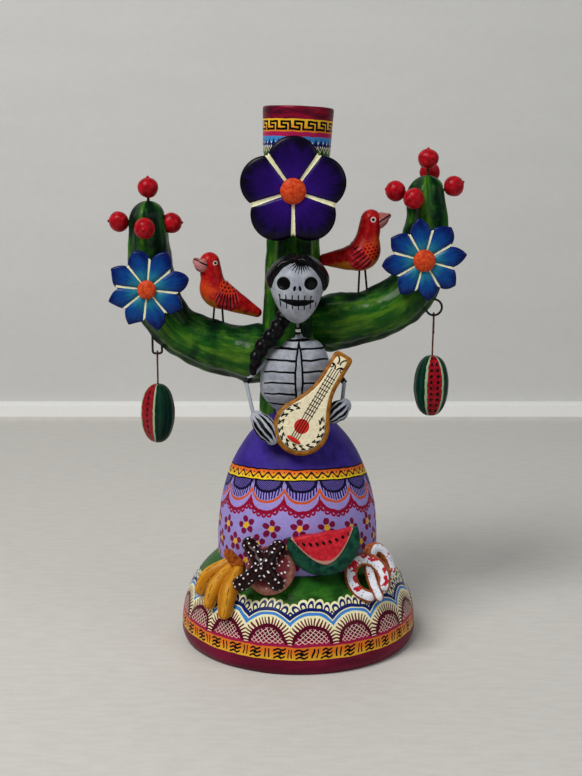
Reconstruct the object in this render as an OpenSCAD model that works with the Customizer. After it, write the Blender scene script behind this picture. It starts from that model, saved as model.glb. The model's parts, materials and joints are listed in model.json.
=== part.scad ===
// Day-of-the-dead candelabrum: a skeleton lady with a mandolin stands on a painted dome
// in front of a two-armed cactus that carries a candle cup, flowers, fruits, birds and
// two hanging melons. Millimetres, +Z up, origin at the centre of the base's underside.

/* [Base] */
// Diameter of the dome at its widest
base_d = 136; // [132:1:140]
// Height of the flat shoulder that the skirt stands on
shoulder_z = 48; // [46:0.5:50]
// Wall thickness of the hollow dome
base_wall = 6; // [5:0.5:8]

/* [Skirt] */
// Largest diameter of the skirt
skirt_d = 92; // [88:1:94]
// Height of the waist above the table
waist_z = 133; // [130:0.5:136]
// Wall thickness of the hollow skirt
skirt_wall = 7; // [6:0.5:9]

/* [Candle cup] */
// Outside diameter at the rim
cup_d = 40; // [36:1:44]
// Diameter of the candle bore
candle_d = 22; // [20:0.5:23]
// Depth of the candle bore below the wax pan
candle_depth = 20; // [16:1:22]
// Lean of the cup to the right
cup_lean = 2.2; // [0:0.2:4]

/* [Flowers] */
// Reach of the purple flower's round petals
purple_reach = 30; // [26:0.5:31]
// Reach of the blue flowers' pointed petals
blue_reach = 23; // [20:0.5:24]

/* [Fruits] */
// Diameter of a round fruit
fruit_d = 11.8; // [10:0.2:12]
// Diameter of the stem wire
stem_d = 1.6; // [1.2:0.1:2]

/* [Hanging melons] */
// Diameter of the fixed eye wires
eye_wire_d = 1.3; // [1.2:0.1:1.5]
// Diameter of the pendant wires
hook_wire_d = 1; // [0.8:0.1:1.1]
// Gap between an eye and the hook that swings on it
swing_gap = 0.1; // [0.08:0.01:0.12]

/* [Hidden] */
$fn = 48;

base_r = base_d / 2;
foot_z = 5;               // height at which the dome is widest
dome_rise = 55.6;         // rise of the full dome above foot_z
dome_power = 2.2;         // roundness of the dome's shoulder
foot_in = 1;              // how far the foot draws in
skirt_r = skirt_d / 2;
skirt_x = -0.7;           // axis of the skirt
hem_z = 58;               // top of the skirt's straight hem
plane_y = 18;             // depth of the cactus behind the middle of the base
cup_z = 272;              // underside of the cup
cup_h = 29;
cup_x = -1.4;
pan_depth = 3;            // shallow wax pan at the cup's rim
rim_w = 3.6;
hook_r = hook_wire_d / 2;
eye_r = eye_wire_d / 2;
loop_r = eye_r + swing_gap + hook_r;      // centreline radius of a hook's loop
left_pin = [-81.9, 16, 162];              // lowest wire of the staple
right_pin = [77.9, 16, 184.2];            // lowest wire of the ring eye
staple_w = 5.4;
staple_bend = 1.5;
ring_r = 4.6;

// ---- helpers ----

function unit(v) = v / norm(v);
function xyz(p) = [p[0], p[1], p[2]];

// A point at parameter s on the smooth curve through the control points [x, y, z, r].
function through(c, s) =
    let (last = len(c) - 1, i = min(floor(s), last - 1), t = s - i)
    let (a = c[max(i - 1, 0)], b = c[i], d = c[i + 1], e = c[min(i + 2, last)])
    (2 * b + (d - a) * t + (2 * a - 5 * b + 4 * d - e) * t * t + (3 * b - a - 3 * d + e) * t * t * t) / 2;

// The rings [centre, radius, direction] of a tube, rounded off by a dome at each end.
function rings(c, steps, domes) =
    let (p = [for (k = [0:steps * (len(c) - 1)]) through(c, k / steps)], n = len(p) - 1)
    let (dir = [for (i = [0:n]) unit(xyz(p[min(i + 1, n)]) - xyz(p[max(i - 1, 0)]))])
    concat(
        [for (k = [domes:-1:1]) let (a = 75 * k / domes)
            [xyz(p[0]) - dir[0] * p[0][3] * sin(a), p[0][3] * cos(a), dir[0]]],
        [for (i = [0:n]) [xyz(p[i]), p[i][3], dir[i]]],
        [for (k = [1:1:domes]) let (a = 75 * k / domes)
            [xyz(p[n]) + dir[n] * p[n][3] * sin(a), p[n][3] * cos(a), dir[n]]]
    );

// A smooth clay form along control points [x, y, z, radius]. Its section is flattened
// along the direction "side" by "flat".
module limb(c, side = [0, 1, 0], flat = 1, steps = 2, sides = 14, domes = 2) {
    g = rings(c, steps, domes);
    n = len(g);
    points = [for (q = g) let (u = unit(cross(q[2], side)), v = cross(q[2], u))
        for (j = [0:sides - 1]) let (a = 360 * j / sides)
            q[0] + q[1] * (cos(a) * u + flat * sin(a) * v)];
    walls = [for (i = [0:n - 2]) for (j = [0:sides - 1])
        let (k = (j + 1) % sides, low = i * sides, top = (i + 1) * sides)
            for (f = [[low + j, top + j, top + k], [low + j, top + k, low + k]]) f];
    foot = [for (j = [0:sides - 1]) j];
    head = [for (j = [sides - 1:-1:0]) (n - 1) * sides + j];
    polyhedron(points, concat([foot], walls, [head]), convexity = 6);
}

// Turns +Z towards the direction v.
module aim(v) {
    rotate([0, acos(v[2] / norm(v)), atan2(v[1], v[0])]) children();
}

// A straight round bar from a to b.
module bar(a, b, r) {
    translate(a) aim(b - a) cylinder(r = r, h = norm(b - a));
}

// Lays a flat outline in the X-Z plane, its back at y, rising towards -Y.
module upright(p, thick) {
    translate(p) rotate([90, 0, 0]) linear_extrude(thick) children();
}

// ---- base ----

function dome_r(z) = base_r * pow(1 - pow((z - foot_z) / dome_rise, dome_power), 1 / dome_power);

// Half section of the dome, "wall" inside its outer face.
module dome_section(wall) {
    top = shoulder_z - wall;
    steps = 8;
    polygon(concat(
        [[0, 0], [base_r - foot_in - wall, 0]],
        [for (i = [0:steps]) let (z = foot_z + (top - foot_z) * i / steps) [dome_r(z) - wall, z]],
        [[0, top]]
    ));
}

module dome_solid() {
    rotate_extrude() dome_section(0);
}

module base_dome() {
    color("maroon") difference() {
        dome_solid();
        translate([0, 0, -0.01]) rotate_extrude() dome_section(base_wall);
    }
}

// Half section of the skirt: a straight hem under a half ellipse, "wall" inside its face.
module skirt_section(wall) {
    r = skirt_r - wall;
    rise = waist_z - hem_z - wall;
    top_angle = wall > 0 ? 90 : 80;
    polygon(concat(
        [[0, shoulder_z], [r, shoulder_z]],
        [for (i = [0:10]) let (a = top_angle * i / 10) [max(r * cos(a), 0), hem_z + rise * sin(a)]],
        wall > 0 ? [] : [[0, hem_z + rise * sin(80)]]
    ));
}

module skirt_solid() {
    translate([skirt_x, 0, 0]) rotate_extrude() skirt_section(0);
}

module skirt() {
    color("mediumpurple") difference() {
        skirt_solid();
        translate([skirt_x, 0, -0.01]) rotate_extrude() skirt_section(skirt_wall);
    }
}

// ---- cactus and candle cup ----

module trunk_form() {
    limb([
        [-2.5, 36, 40, 15], [-3, 33, 75, 17], [-3.5, 27, 105, 18], [-4, 21, 135, 18.5],
        [-3.5, plane_y, 165, 18], [-3, plane_y, 200, 16.5], [-3, plane_y, 230, 15],
        [-2, plane_y, 256, 16.2], [-1.4, plane_y, 276, 17.8]
    ], sides = 18, domes = 0);
}

module cactus_trunk() {
    color("darkgreen") difference() {
        trunk_form();
        dome_solid();
        skirt_solid();
        cup_place() cylinder(r = cup_d, h = cup_h);
    }
}

module cactus_arm_left() {
    color("green") difference() {
        limb([
            [-12, plane_y, 161, 16], [-24, plane_y, 161, 17], [-39, plane_y, 163, 14.6],
            [-54.5, plane_y, 167.6, 14.5], [-69.3, plane_y, 175, 13.2], [-80.2, plane_y, 189.3, 13.5],
            [-84, plane_y, 207, 13.4], [-85, plane_y, 221, 13], [-85.6, plane_y, 238, 11.3]
        ]);
        trunk_form();
    }
}

module cactus_arm_right() {
    color("green") difference() {
        limb([
            [8, plane_y, 180, 14.5], [20, plane_y, 180, 16.5], [33, plane_y, 182, 14.8],
            [46, plane_y, 185.5, 15], [59, plane_y, 192.5, 14.6], [67, plane_y, 202, 14.3],
            [71, plane_y, 217, 13.7], [73.7, plane_y, 235, 13.1], [73, plane_y, 252.5, 11.2]
        ]);
        trunk_form();
    }
}

// Stands its children on the cup's leaning axis.
module cup_place() {
    translate([cup_x, plane_y, cup_z]) rotate([0, cup_lean, 0]) children();
}

module candle_cup() {
    r = cup_d / 2;
    pan_z = cup_h - pan_depth;
    color("gold") cup_place() rotate_extrude() polygon([
        [0, 0], [r - 3, 0], [r - 1.4, 2], [r - 0.8, 6], [r, cup_h - 1], [r - 1, cup_h],
        [r - rim_w, cup_h], [r - rim_w - 1, pan_z], [candle_d / 2, pan_z],
        [candle_d / 2, pan_z - candle_depth], [0, pan_z - candle_depth]
    ]);
}

// ---- flowers ----

purple_at = [-3.2, -1.6, 254.9];
blue_left_at = [-85.2, 3, 200.4];
blue_right_at = [70, 3, 216.6];

module flower_boss(p, r, back) {
    translate(p) rotate([-90, 0, 0]) cylinder(r = r, h = back);
}

module purple_flower_petals() {
    petal_r = 14.5;
    color("indigo") {
        upright(purple_at, 4.6) {
            circle(r = 14);
            for (i = [0:4]) rotate(90 + 72 * i) translate([purple_reach - petal_r, 0]) circle(r = petal_r);
        }
        flower_boss(purple_at, 8, 6);
    }
}

// One pointed petal along +X: where two circles cross.
module pointed_petal(reach, width) {
    r = (reach * reach / 4 + width * width / 4) / width;
    intersection() {
        translate([reach / 2, r - width / 2]) circle(r = r);
        translate([reach / 2, width / 2 - r]) circle(r = r);
    }
}

module blue_petals(p, turn) {
    petal_w = 15;
    color("royalblue") {
        upright(p, 4) {
            circle(r = 7);
            for (i = [0:7]) rotate(turn + 45 * i) pointed_petal(blue_reach, petal_w);
        }
        flower_boss(p, 6, 6);
    }
}

// A domed button on the front of a flower whose petals are "thick".
module button(p, r, thick) {
    lens_r = r * 1.15;
    color("orangered") translate(p - [0, thick, 0]) rotate([90, 0, 0]) intersection() {
        translate([0, 0, r * 0.5 - lens_r]) sphere(r = lens_r);
        cylinder(r = r, h = r);
    }
}

module purple_flower_button() { button(purple_at, 7.4, 4.6); }
module blue_flower_left_petals() { blue_petals(blue_left_at, 16); }
module blue_flower_left_button() { button(blue_left_at, 5.4, 4); }
module blue_flower_right_petals() { blue_petals(blue_right_at, 8); }
module blue_flower_right_button() { button(blue_right_at, 6.3, 4); }

// ---- fruits on wire stems ----

left_tip = [-85.5, plane_y, 236];
right_tip = [73, plane_y, 252];
FRUITS = [
    [-85.6, 18, 256.7], [-102.6, 18, 237.6], [-72.4, 18, 236.9], [-85.9, 1, 234.5],
    [73.2, 18, 272.8], [88, 18, 257.6], [54.6, 14, 254.9], [63.8, 3, 250.9], [76, 34, 265.6]
];
left_fruits = [0:3];
right_fruits = [4:8];

module fruit(i) {
    color("crimson") translate(FRUITS[i]) sphere(r = fruit_d / 2);
}

// A wire from inside the cactus tip to just inside each fruit.
module fruit_stems(tip, range) {
    color("darkslategray") for (i = range) {
        way = FRUITS[i] - tip;
        bar(tip + way * 0.45, FRUITS[i] - unit(way) * fruit_d / 3, stem_d / 2);
    }
}

// ---- birds ----

module bird_left_body() {
    color("red") limb([
        [-50.8, 15, 214.6, 5.8], [-50, 15, 207, 6.6], [-48, 15.5, 198.5, 8.4],
        [-39, 16, 193, 6.4], [-31, 16.5, 189, 4], [-24, 17, 185, 2]
    ]);
}

module bird_right_body() {
    color("red") limb([
        [41, 15, 238.6, 5.9], [40, 15, 230.5, 6.6], [37.5, 15.5, 219.5, 8.6],
        [29, 16, 216.5, 6.2], [22, 16.5, 216, 4.8], [15, 17, 215.6, 3.4]
    ]);
}

module beak(base, tip) {
    color("rosybrown") translate(base) aim(tip - base) cylinder(r1 = 3.5, r2 = 0.9, h = norm(tip - base));
}

module bird_left_beak() { beak([-54.5, 15, 214.6], [-60, 14.5, 217]); }
module bird_right_beak() { beak([45, 15, 240], [52.5, 14.5, 241.3]); }

module bird_left_legs() {
    color("black") {
        bar([-48.2, 14, 192], [-49.6, 14, 176], 0.6);
        bar([-44.4, 18, 192], [-43.4, 18, 176], 0.6);
    }
}

module bird_right_legs() {
    color("black") {
        bar([34.8, 14, 213], [34.1, 14, 195], 0.6);
        bar([37.9, 18, 213], [39.6, 18, 196], 0.6);
    }
}

// ---- hanging melons ----

// A quarter turn of wire of radius r in the X-Z plane, bent to "bend".
module wire_bend(p, bend, r, turn) {
    translate(p) rotate([90, 0, 0]) rotate(turn) rotate_extrude(angle = 90) translate([bend, 0]) circle(r = r);
}

module left_staple() {
    half = staple_w / 2;
    low = left_pin[2];
    leg_top = [[-half, 179], [half, 175]];
    color("dimgray") translate([left_pin[0], left_pin[1], 0]) {
        for (leg = leg_top) bar([leg[0], 0, low + staple_bend], [leg[0], 0, leg[1]], eye_r);
        bar([staple_bend - half, 0, low], [half - staple_bend, 0, low], eye_r);
        wire_bend([half - staple_bend, 0, low + staple_bend], staple_bend, eye_r, -90);
        wire_bend([staple_bend - half, 0, low + staple_bend], staple_bend, eye_r, 180);
    }
}

module right_ring_eye() {
    color("dimgray") translate(right_pin + [0, 0, ring_r]) rotate([90, 0, 0])
        rotate_extrude() translate([ring_r, 0]) circle(r = eye_r);
}

// A hook whose loop turns round the eye's wire at "pin", with its straight shank below
// ending at "tip" and a tail of length "tail" wound beside it.
module pendant_wire(pin, tip, tail) {
    gap_z = pin[2] - loop_r - 0.4;
    color("saddlebrown") {
        translate(pin) rotate([0, 90, 0]) rotate_extrude() translate([loop_r, 0]) circle(r = hook_r);
        bar([pin[0], pin[1], gap_z + 0.4], tip, hook_r);
        bar([pin[0], pin[1] - hook_wire_d * 0.9, gap_z + 0.3], [pin[0], pin[1] - hook_wire_d * 0.9, gap_z - tail], hook_r);
    }
}

module left_pendant_wire() { pendant_wire(left_pin, [-82, 16, 141], 6); }
module right_pendant_wire() { pendant_wire(right_pin, [77.5, 16, 157], 9); }

// A whole melon hanging from top to bottom, "r" at its middle.
module hanging_melon(top, bottom, r) {
    along = bottom - top;
    color("darkgreen") limb([for (s = [0.14, 0.3, 0.5, 0.7, 0.86])
        [for (v = [top + along * s]) each v, r * sqrt(1 - pow(abs(2 * s - 1), 2.2))]
    ], sides = 18, domes = 2);
}

module left_melon() { hanging_melon([-81.8, 16, 144], [-82.9, 16, 109.4], 9.4); }
module right_melon() { hanging_melon([77.6, 16, 160.5], [77, 16, 125.7], 9.8); }

// ---- the lady ----

arm_wire_r = 1.1;

module torso() {
    color("lightgray") difference() {
        limb([
            [-1.2, -7, 134, 12], [-1.6, -8, 142, 19], [-1.7, -8.5, 150, 20.4],
            [-0.5, -8.5, 160, 19.2], [0.4, -8, 168.5, 14.5], [0, -8, 174, 6]
        ], flat = 0.6, sides = 18, domes = 1);
        skirt_solid();
    }
}

module neck_wire() {
    color("silver") bar([-0.3, -8.5, 172], [-1, -12.8, 186], 0.8);
}

module neck_beads() {
    color("white") for (z = [177.4, 178.8, 180.2]) translate([-0.5, -10.1 - (z - 177.4) * 0.31, z])
        rotate([17, 0, 0]) difference() {
            cylinder(r = 1.5, h = 1, center = true);
            cylinder(r = 0.9, h = 2, center = true);
        }
}

head_at = [-1, -12.6, 203.8];

module skull() {
    color("gainsboro") {
        translate(head_at) sphere(r = 15);
        translate([-1.4, -15, 186.7]) cylinder(r1 = 7.2, r2 = 10.4, h = 9);
        translate([-1.4, -15, 186.7]) sphere(r = 6.9);
    }
}

module hair_cap() {
    color("black") difference() {
        translate(head_at) sphere(r = 16.6);
        translate(head_at) sphere(r = 15.1);
        translate(head_at + [0, -14, -9]) rotate([-28, 0, 0]) cube([40, 40, 34], center = true);
        translate(head_at + [0, 0, -22]) cube([40, 60, 24], center = true);
    }
}

module braid() {
    color("black") limb([
        [-8, -8, 187, 4], [-13, -13, 178.5, 4.4], [-20.3, -15, 170, 4],
        [-23.8, -15, 162.8, 3.4], [-25.6, -15, 156, 2.2]
    ], sides = 10, domes = 1);
}

// A painted wire limb bone, with the black elbow knot at its lower end if "knot" is set.
module arm_wire(a, b, knot) {
    color("lightgray") {
        bar(a, b, arm_wire_r);
        translate(a) sphere(r = arm_wire_r);
        if (knot) bar(b + unit(a - b) * 4, b, arm_wire_r * 1.5);
    }
}

shoulder_left = [-17, -11, 163];
elbow_left = [-29.8, -17, 150];
wrist_left = [-24.8, -27, 133.5];
shoulder_right = [15.5, -10, 163];
elbow_right = [25.6, -14, 149.6];
wrist_right = [23.6, -22.5, 138.5];
elbow_gap = 0.6;

module upper_arm_left() { arm_wire(shoulder_left, elbow_left, true); }
module forearm_left() { arm_wire(elbow_left - [0, 0, 2 * arm_wire_r + elbow_gap], wrist_left, false); }
module upper_arm_right() { arm_wire(shoulder_right, elbow_right, true); }
module forearm_right() { arm_wire(elbow_right - [0, 0, 2 * arm_wire_r + elbow_gap], wrist_right, false); }

// A mitten of a hand from wrist to finger tips.
module hand(a, b, r) {
    mid = (a + b) / 2;
    color("lightgray") limb([
        [a[0], a[1], a[2], r * 0.6], [mid[0], mid[1] - 0.6, mid[2], r], [b[0], b[1], b[2], r * 0.5]
    ], flat = 0.55, sides = 10);
}

module hand_left() { hand([-24.8, -28.4, 134.5], [-13, -36.6, 121], 5.4); }
module hand_right() { hand([26.4, -23.4, 140.4], [16.4, -29, 132], 5.6); }

// ---- mandolin ----

mandolin_at = [1.2, -33.6, 128.6];
mandolin_turn = 31;       // lean of the neck to the right
mandolin_tip = 16;        // lean of the neck back towards the chest
mandolin_r = 15.4;
neck_w = 11.2;
neck_end = 46.5;

// Places its children in the mandolin's own frame: +Y up the neck, +Z out of its face.
module mandolin_place() {
    translate(mandolin_at) rotate([90 - mandolin_tip, 0, 0]) rotate(-mandolin_turn) children();
}

// The outline, "inset" inside the edge.
module mandolin_outline(inset) {
    r = mandolin_r - inset;
    half = neck_w / 2 - inset;
    circle(r = r);
    translate([-half, 0]) square([2 * half, neck_end - inset]);
    polygon([[-r * 0.8, r * 0.6], [r * 0.8, r * 0.6], [half, r + 6], [-half, r + 6]]);
}

module mandolin_body() {
    color("peru") mandolin_place() translate([0, 0, -2.6]) linear_extrude(5.2) mandolin_outline(0);
}

module mandolin_face() {
    color("wheat") mandolin_place() translate([0, 0, 2.6]) linear_extrude(0.5) mandolin_outline(1.4);
}

module mandolin_bridge() {
    color("firebrick") mandolin_place() translate([-4, -9, 3.1]) cube([8, 2, 1]);
}

// ---- offerings on the base ----

// A point standing "lift" off the dome's face, at azimuth "a" from the front, height z.
function on_dome(a, z, lift) =
    let (r = dome_r(z), slope = atan2(r - dome_r(z + 0.5), 0.5))
    [(r + lift * cos(slope)) * sin(a), -(r + lift * cos(slope)) * cos(a), z + lift * sin(slope)];

stalk_azimuth = -44;

module banana(tip_azimuth, tip_z) {
    spread = tip_azimuth - stalk_azimuth;
    root = on_dome(stalk_azimuth + spread * 0.45, 47.5, 4.4);
    middle = on_dome(stalk_azimuth + spread * 0.85, (tip_z + 50) / 2, 4.6);
    tip = on_dome(tip_azimuth, tip_z + 4, 3.2);
    color("goldenrod") limb([
        [root[0], root[1], root[2], 3.4], [middle[0], middle[1], middle[2], 4.8], [tip[0], tip[1], tip[2], 4]
    ], side = [0, 0, 1], steps = 3, sides = 10);
}

module banana_1() { banana(-60, 31); }
module banana_2() { banana(-49, 27); }
module banana_3() { banana(-38, 25); }

module banana_stalk() {
    color("chocolate") bar([-33, -37.5, 51.5], [-39, -37, 58.5], 3.4);
}

bun_at = [-15, -46.5, 51.5];
bun_face = [-0.24, -0.78, 0.57];   // the way its round face looks

module bread_bun() {
    bun_r = 14;
    color("rosybrown") difference() {
        translate(bun_at) aim(bun_face) difference() {
            translate([0, 0, 10 - bun_r * 1.1]) sphere(r = bun_r * 1.1);
            translate([0, 0, -30]) cube(60, center = true);
        }
        dome_solid();
        skirt_solid();
    }
}

bones_at = [-19, -57.5, 57];
BONE_ENDS = [[-26.8, -47.5, 67], [-11.4, -50, 66.2], [-31.5, -56.5, 47.8], [-12, -60, 49.4]];

// Two crossed strips that swell where they cross and at their ends.
module bread_bones() {
    color("saddlebrown") for (i = [0, 1]) {
        a = BONE_ENDS[i];
        b = BONE_ENDS[3 - i];
        stops = [[a, 3.3], [(a + bones_at) / 2, 2.6], [bones_at, 3.8], [(b + bones_at) / 2, 2.6], [b, 3.3]];
        limb([for (s = stops) [s[0][0], s[0][1], s[0][2], s[1]]], sides = 10);
    }
}

slice_at = [12.4, -45.6, 73.6];
slice_w = 39;
slice_h = 23.5;
slice_thick = 6;

// Stands its children as an upright slice: half a flattened disc, cut side up.
module slice_place() {
    translate(slice_at) rotate([-7, -10, 0]) rotate([90, 0, 0]) children();
}

// The half disc's outline: an arc that is slice_w wide and slice_h deep, less "rind".
module slice_outline(rind) {
    r = (slice_w * slice_w / 4 + slice_h * slice_h) / (2 * slice_h);
    intersection() {
        translate([0, r - slice_h]) circle(r = r - rind);
        translate([-slice_w, -2 * slice_w]) square([2 * slice_w, 2 * slice_w]);
    }
}

module melon_slice_flesh() {
    color("red") slice_place() translate([0, 0, 0.4]) linear_extrude(slice_thick - 0.4) slice_outline(3);
}

module melon_slice_rind() {
    color("darkgreen") difference() {
        slice_place() linear_extrude(slice_thick) slice_outline(0);
        slice_place() translate([0, 0, 0.4]) linear_extrude(slice_thick) slice_outline(3);
    }
}

// A pastry bent to a horseshoe "w" wide and "h" high, facing "yaw" to the right of the
// front and leaning by "turn", with a tongue down its middle if "tongue" is set.
module pastry(p, yaw, turn, w, h, tongue) {
    turns = 8;
    strip = 3.6;
    start = 239;      // where round the horseshoe its first end is
    sweep = 286;
    color("sandybrown") translate(p) rotate([-20, 0, yaw]) rotate([0, turn, 0]) {
        limb([for (i = [0:turns]) let (a = start - sweep * i / turns)
            [(w / 2 - strip) * cos(a), 1.2 - 2.4 * i / turns, (h / 2 - strip) * sin(a), strip]
        ], sides = 10, domes = 1);
        if (tongue) limb([
            [3.4, 0.6, 4.6, 2.9], [1.6, 0, -2.4, 3], [0.2, -0.6, -11.4, 2.7]
        ], sides = 10, domes = 1);
    }
}

module pastry_front() { pastry([37.4, -44.2, 47], 0, -30, 24.5, 28, true); }
module pastry_rear() { pastry([43.4, -34.2, 51.2], 48, -14, 19.5, 26, false); }

// ---- assembly ----

base_dome();
skirt();
cactus_trunk();
cactus_arm_left();
cactus_arm_right();
candle_cup();
purple_flower_petals();
purple_flower_button();
blue_flower_left_petals();
blue_flower_left_button();
blue_flower_right_petals();
blue_flower_right_button();
for (i = [0:8]) fruit(i);
fruit_stems(left_tip, left_fruits);  // fruit_stems_left
fruit_stems(right_tip, right_fruits);  // fruit_stems_right
bird_left_body();
bird_left_beak();
bird_left_legs();
bird_right_body();
bird_right_beak();
bird_right_legs();
left_staple();
left_pendant_wire();
left_melon();
right_ring_eye();
right_pendant_wire();
right_melon();
torso();
neck_wire();
neck_beads();
skull();
hair_cap();
braid();
upper_arm_left();
forearm_left();
hand_left();
upper_arm_right();
forearm_right();
hand_right();
mandolin_body();
mandolin_face();
mandolin_bridge();
banana_1();
banana_2();
banana_3();
banana_stalk();
bread_bun();
bread_bones();
melon_slice_rind();
melon_slice_flesh();
pastry_front();
pastry_rear();
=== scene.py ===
import json
from math import acos, copysign, cos, degrees, exp, pi, radians, sin, sqrt

import bpy
from mathutils import Matrix, Vector, noise

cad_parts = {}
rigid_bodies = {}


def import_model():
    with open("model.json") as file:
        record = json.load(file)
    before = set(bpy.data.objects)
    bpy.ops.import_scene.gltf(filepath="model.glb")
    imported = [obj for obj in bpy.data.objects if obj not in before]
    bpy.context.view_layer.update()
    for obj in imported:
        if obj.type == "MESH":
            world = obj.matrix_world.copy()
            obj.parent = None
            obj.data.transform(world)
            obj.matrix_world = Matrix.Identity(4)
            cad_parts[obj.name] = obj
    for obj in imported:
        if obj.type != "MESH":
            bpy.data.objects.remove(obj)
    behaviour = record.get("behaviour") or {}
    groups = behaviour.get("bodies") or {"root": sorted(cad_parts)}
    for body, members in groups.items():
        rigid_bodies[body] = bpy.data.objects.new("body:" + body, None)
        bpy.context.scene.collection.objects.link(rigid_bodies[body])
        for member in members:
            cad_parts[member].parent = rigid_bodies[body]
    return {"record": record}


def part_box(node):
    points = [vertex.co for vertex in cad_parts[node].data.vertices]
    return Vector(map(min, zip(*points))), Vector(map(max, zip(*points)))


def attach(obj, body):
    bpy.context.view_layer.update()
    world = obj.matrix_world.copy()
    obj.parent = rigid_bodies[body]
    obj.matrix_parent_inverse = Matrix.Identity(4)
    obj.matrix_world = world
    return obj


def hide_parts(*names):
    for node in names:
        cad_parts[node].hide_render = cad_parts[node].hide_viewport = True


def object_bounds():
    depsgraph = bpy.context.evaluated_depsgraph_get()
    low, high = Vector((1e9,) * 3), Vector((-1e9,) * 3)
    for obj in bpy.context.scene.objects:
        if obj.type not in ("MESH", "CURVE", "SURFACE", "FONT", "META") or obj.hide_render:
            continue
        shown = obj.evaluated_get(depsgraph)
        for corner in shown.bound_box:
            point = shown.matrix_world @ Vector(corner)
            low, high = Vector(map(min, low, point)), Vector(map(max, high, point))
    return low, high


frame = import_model()
CAD_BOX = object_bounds()

MM = 0.001
TURN = 2 * pi
DOME_TO = 86                             # a round end stops this many degrees up, short of its pole
BODIES = {n: b for b, nodes in frame["record"]["behaviour"]["bodies"].items() for n in nodes}


# ---------------------------------------------------------------- places, from the frame

def box(node):
    """A CAD node's lowest and highest corner, in millimetres."""
    low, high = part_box(node)
    return low / MM, high / MM


def at(node, fx, fy, fz):
    """The point at these fractions of a CAD node's box, in millimetres."""
    low, high = box(node)
    return Vector(low[i] + (high[i] - low[i]) * f for i, f in enumerate((fx, fy, fz)))


# ---------------------------------------------------------------- meshes, in millimetres

def lump(p, size, seed=0.0):
    """Smooth noise from -1 to 1 whose bumps are about "size" millimetres across."""
    return noise.noise(Vector(p) / size + Vector((seed, 2 * seed, 3 * seed)))


def kneaded(amount, *lumps):
    """A displacement of up to about "amount", from one (size, seed) of noise for each axis."""
    return lambda p: Vector([lump(p, size, seed) for size, seed in lumps]) * amount


def spread(start, stop, step):
    """Angles in radians, from degrees."""
    return [radians(d) for d in range(start, stop, step)]


def facing(way):
    """The turn that takes +Z to this direction."""
    return way.to_track_quat("Z", "Y").to_matrix().to_4x4()


def bell(x, centre, width):
    """A rounded bump of height 1 at centre."""
    return exp(-((x - centre) / width) ** 2)


def wrapped(angle):
    """An angle in degrees brought to -180 to 180."""
    return (angle + 180) % 360 - 180


def piece(name, verts, faces, node, paint, replaces=True, corners=None):
    """A finished visible piece: a smooth mesh that rides on its CAD node's body."""
    mesh = bpy.data.meshes.new(name)
    mesh.from_pydata([Vector(v) * MM for v in verts], [], faces)
    for key, values in (corners or {}).items():
        mesh.attributes.new(key, "FLOAT", "CORNER").data.foreach_set("value", values)
    mesh.materials.append(paint)
    mesh.shade_smooth()
    thing = bpy.data.objects.new(name, mesh)
    bpy.context.scene.collection.objects.link(thing)
    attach(thing, BODIES[node])
    if replaces:
        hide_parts(node)
    return thing


def paint_cad(node, paint):
    """Paints a CAD node's own mesh."""
    for thing in bpy.context.scene.objects:
        if thing.type == "MESH" and thing.name == node:
            thing.data.materials.clear()
            thing.data.materials.append(paint)


def skin(rows, closed=True, caps=(True, True)):
    """Faces over rows of points. The rows are rings if closed, and a cap is a fan to the middle."""
    verts = [p for row in rows for p in row]
    n = len(rows[0])
    columns = n if closed else n - 1
    faces = []
    for i in range(len(rows) - 1):
        for j in range(columns):
            k = (j + 1) % n
            faces.append((i * n + j, i * n + k, (i + 1) * n + k, (i + 1) * n + j))
    for end, wanted in zip((0, len(rows) - 1), caps):
        if wanted:
            verts.append(sum((Vector(p) for p in rows[end]), Vector()) / n)
            middle = len(verts) - 1
            for j in range(columns):
                a, b = end * n + j, end * n + (j + 1) % n
                faces.append((middle, b, a) if end == 0 else (middle, a, b))
    return verts, faces


def smooth_path(stops, steps):
    """Points and radii on the smooth curve through the control points."""
    out = []
    last = len(stops) - 1
    for k in range(steps * last + 1):
        i = min(k // steps, last - 1)
        t = k / steps - i
        a, b, d, e = (stops[j] for j in (max(i - 1, 0), i, i + 1, min(i + 2, last)))

        def blend(q):
            return 0.5 * (2 * b[q] + (d[q] - a[q]) * t + (2 * a[q] - 5 * b[q] + 4 * d[q] - e[q]) * t * t
                          + (3 * b[q] - a[q] - 3 * d[q] + e[q]) * t ** 3)

        out.append((blend(0), blend(1)))
    return out


def rings(stops, steps, domes, side):
    """Stations (centre, radius, across, outwards, distance along) of a round-ended tube."""
    path = smooth_path(stops, steps)
    last = len(path) - 1
    ways = [(path[min(i + 1, last)][0] - path[max(i - 1, 0)][0]).normalized() for i in range(last + 1)]
    out = []

    def add(centre, r, way, s):
        across = way.cross(side).normalized()
        out.append((centre, r, across, way.cross(across), s))

    for k in range(domes, 0, -1):
        a = radians(DOME_TO) * k / domes
        r = path[0][1]
        add(path[0][0] - ways[0] * r * sin(a), r * cos(a), ways[0], -r * sin(a))
    s = 0.0
    for i, (centre, r) in enumerate(path):
        if i:
            s += (centre - path[i - 1][0]).length
        add(centre, r, ways[i], s)
    for k in range(1, domes + 1):
        a = radians(DOME_TO) * k / domes
        r = path[last][1]
        add(path[last][0] + ways[last] * r * sin(a), r * cos(a), ways[last], s + r * sin(a))
    return out


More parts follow.
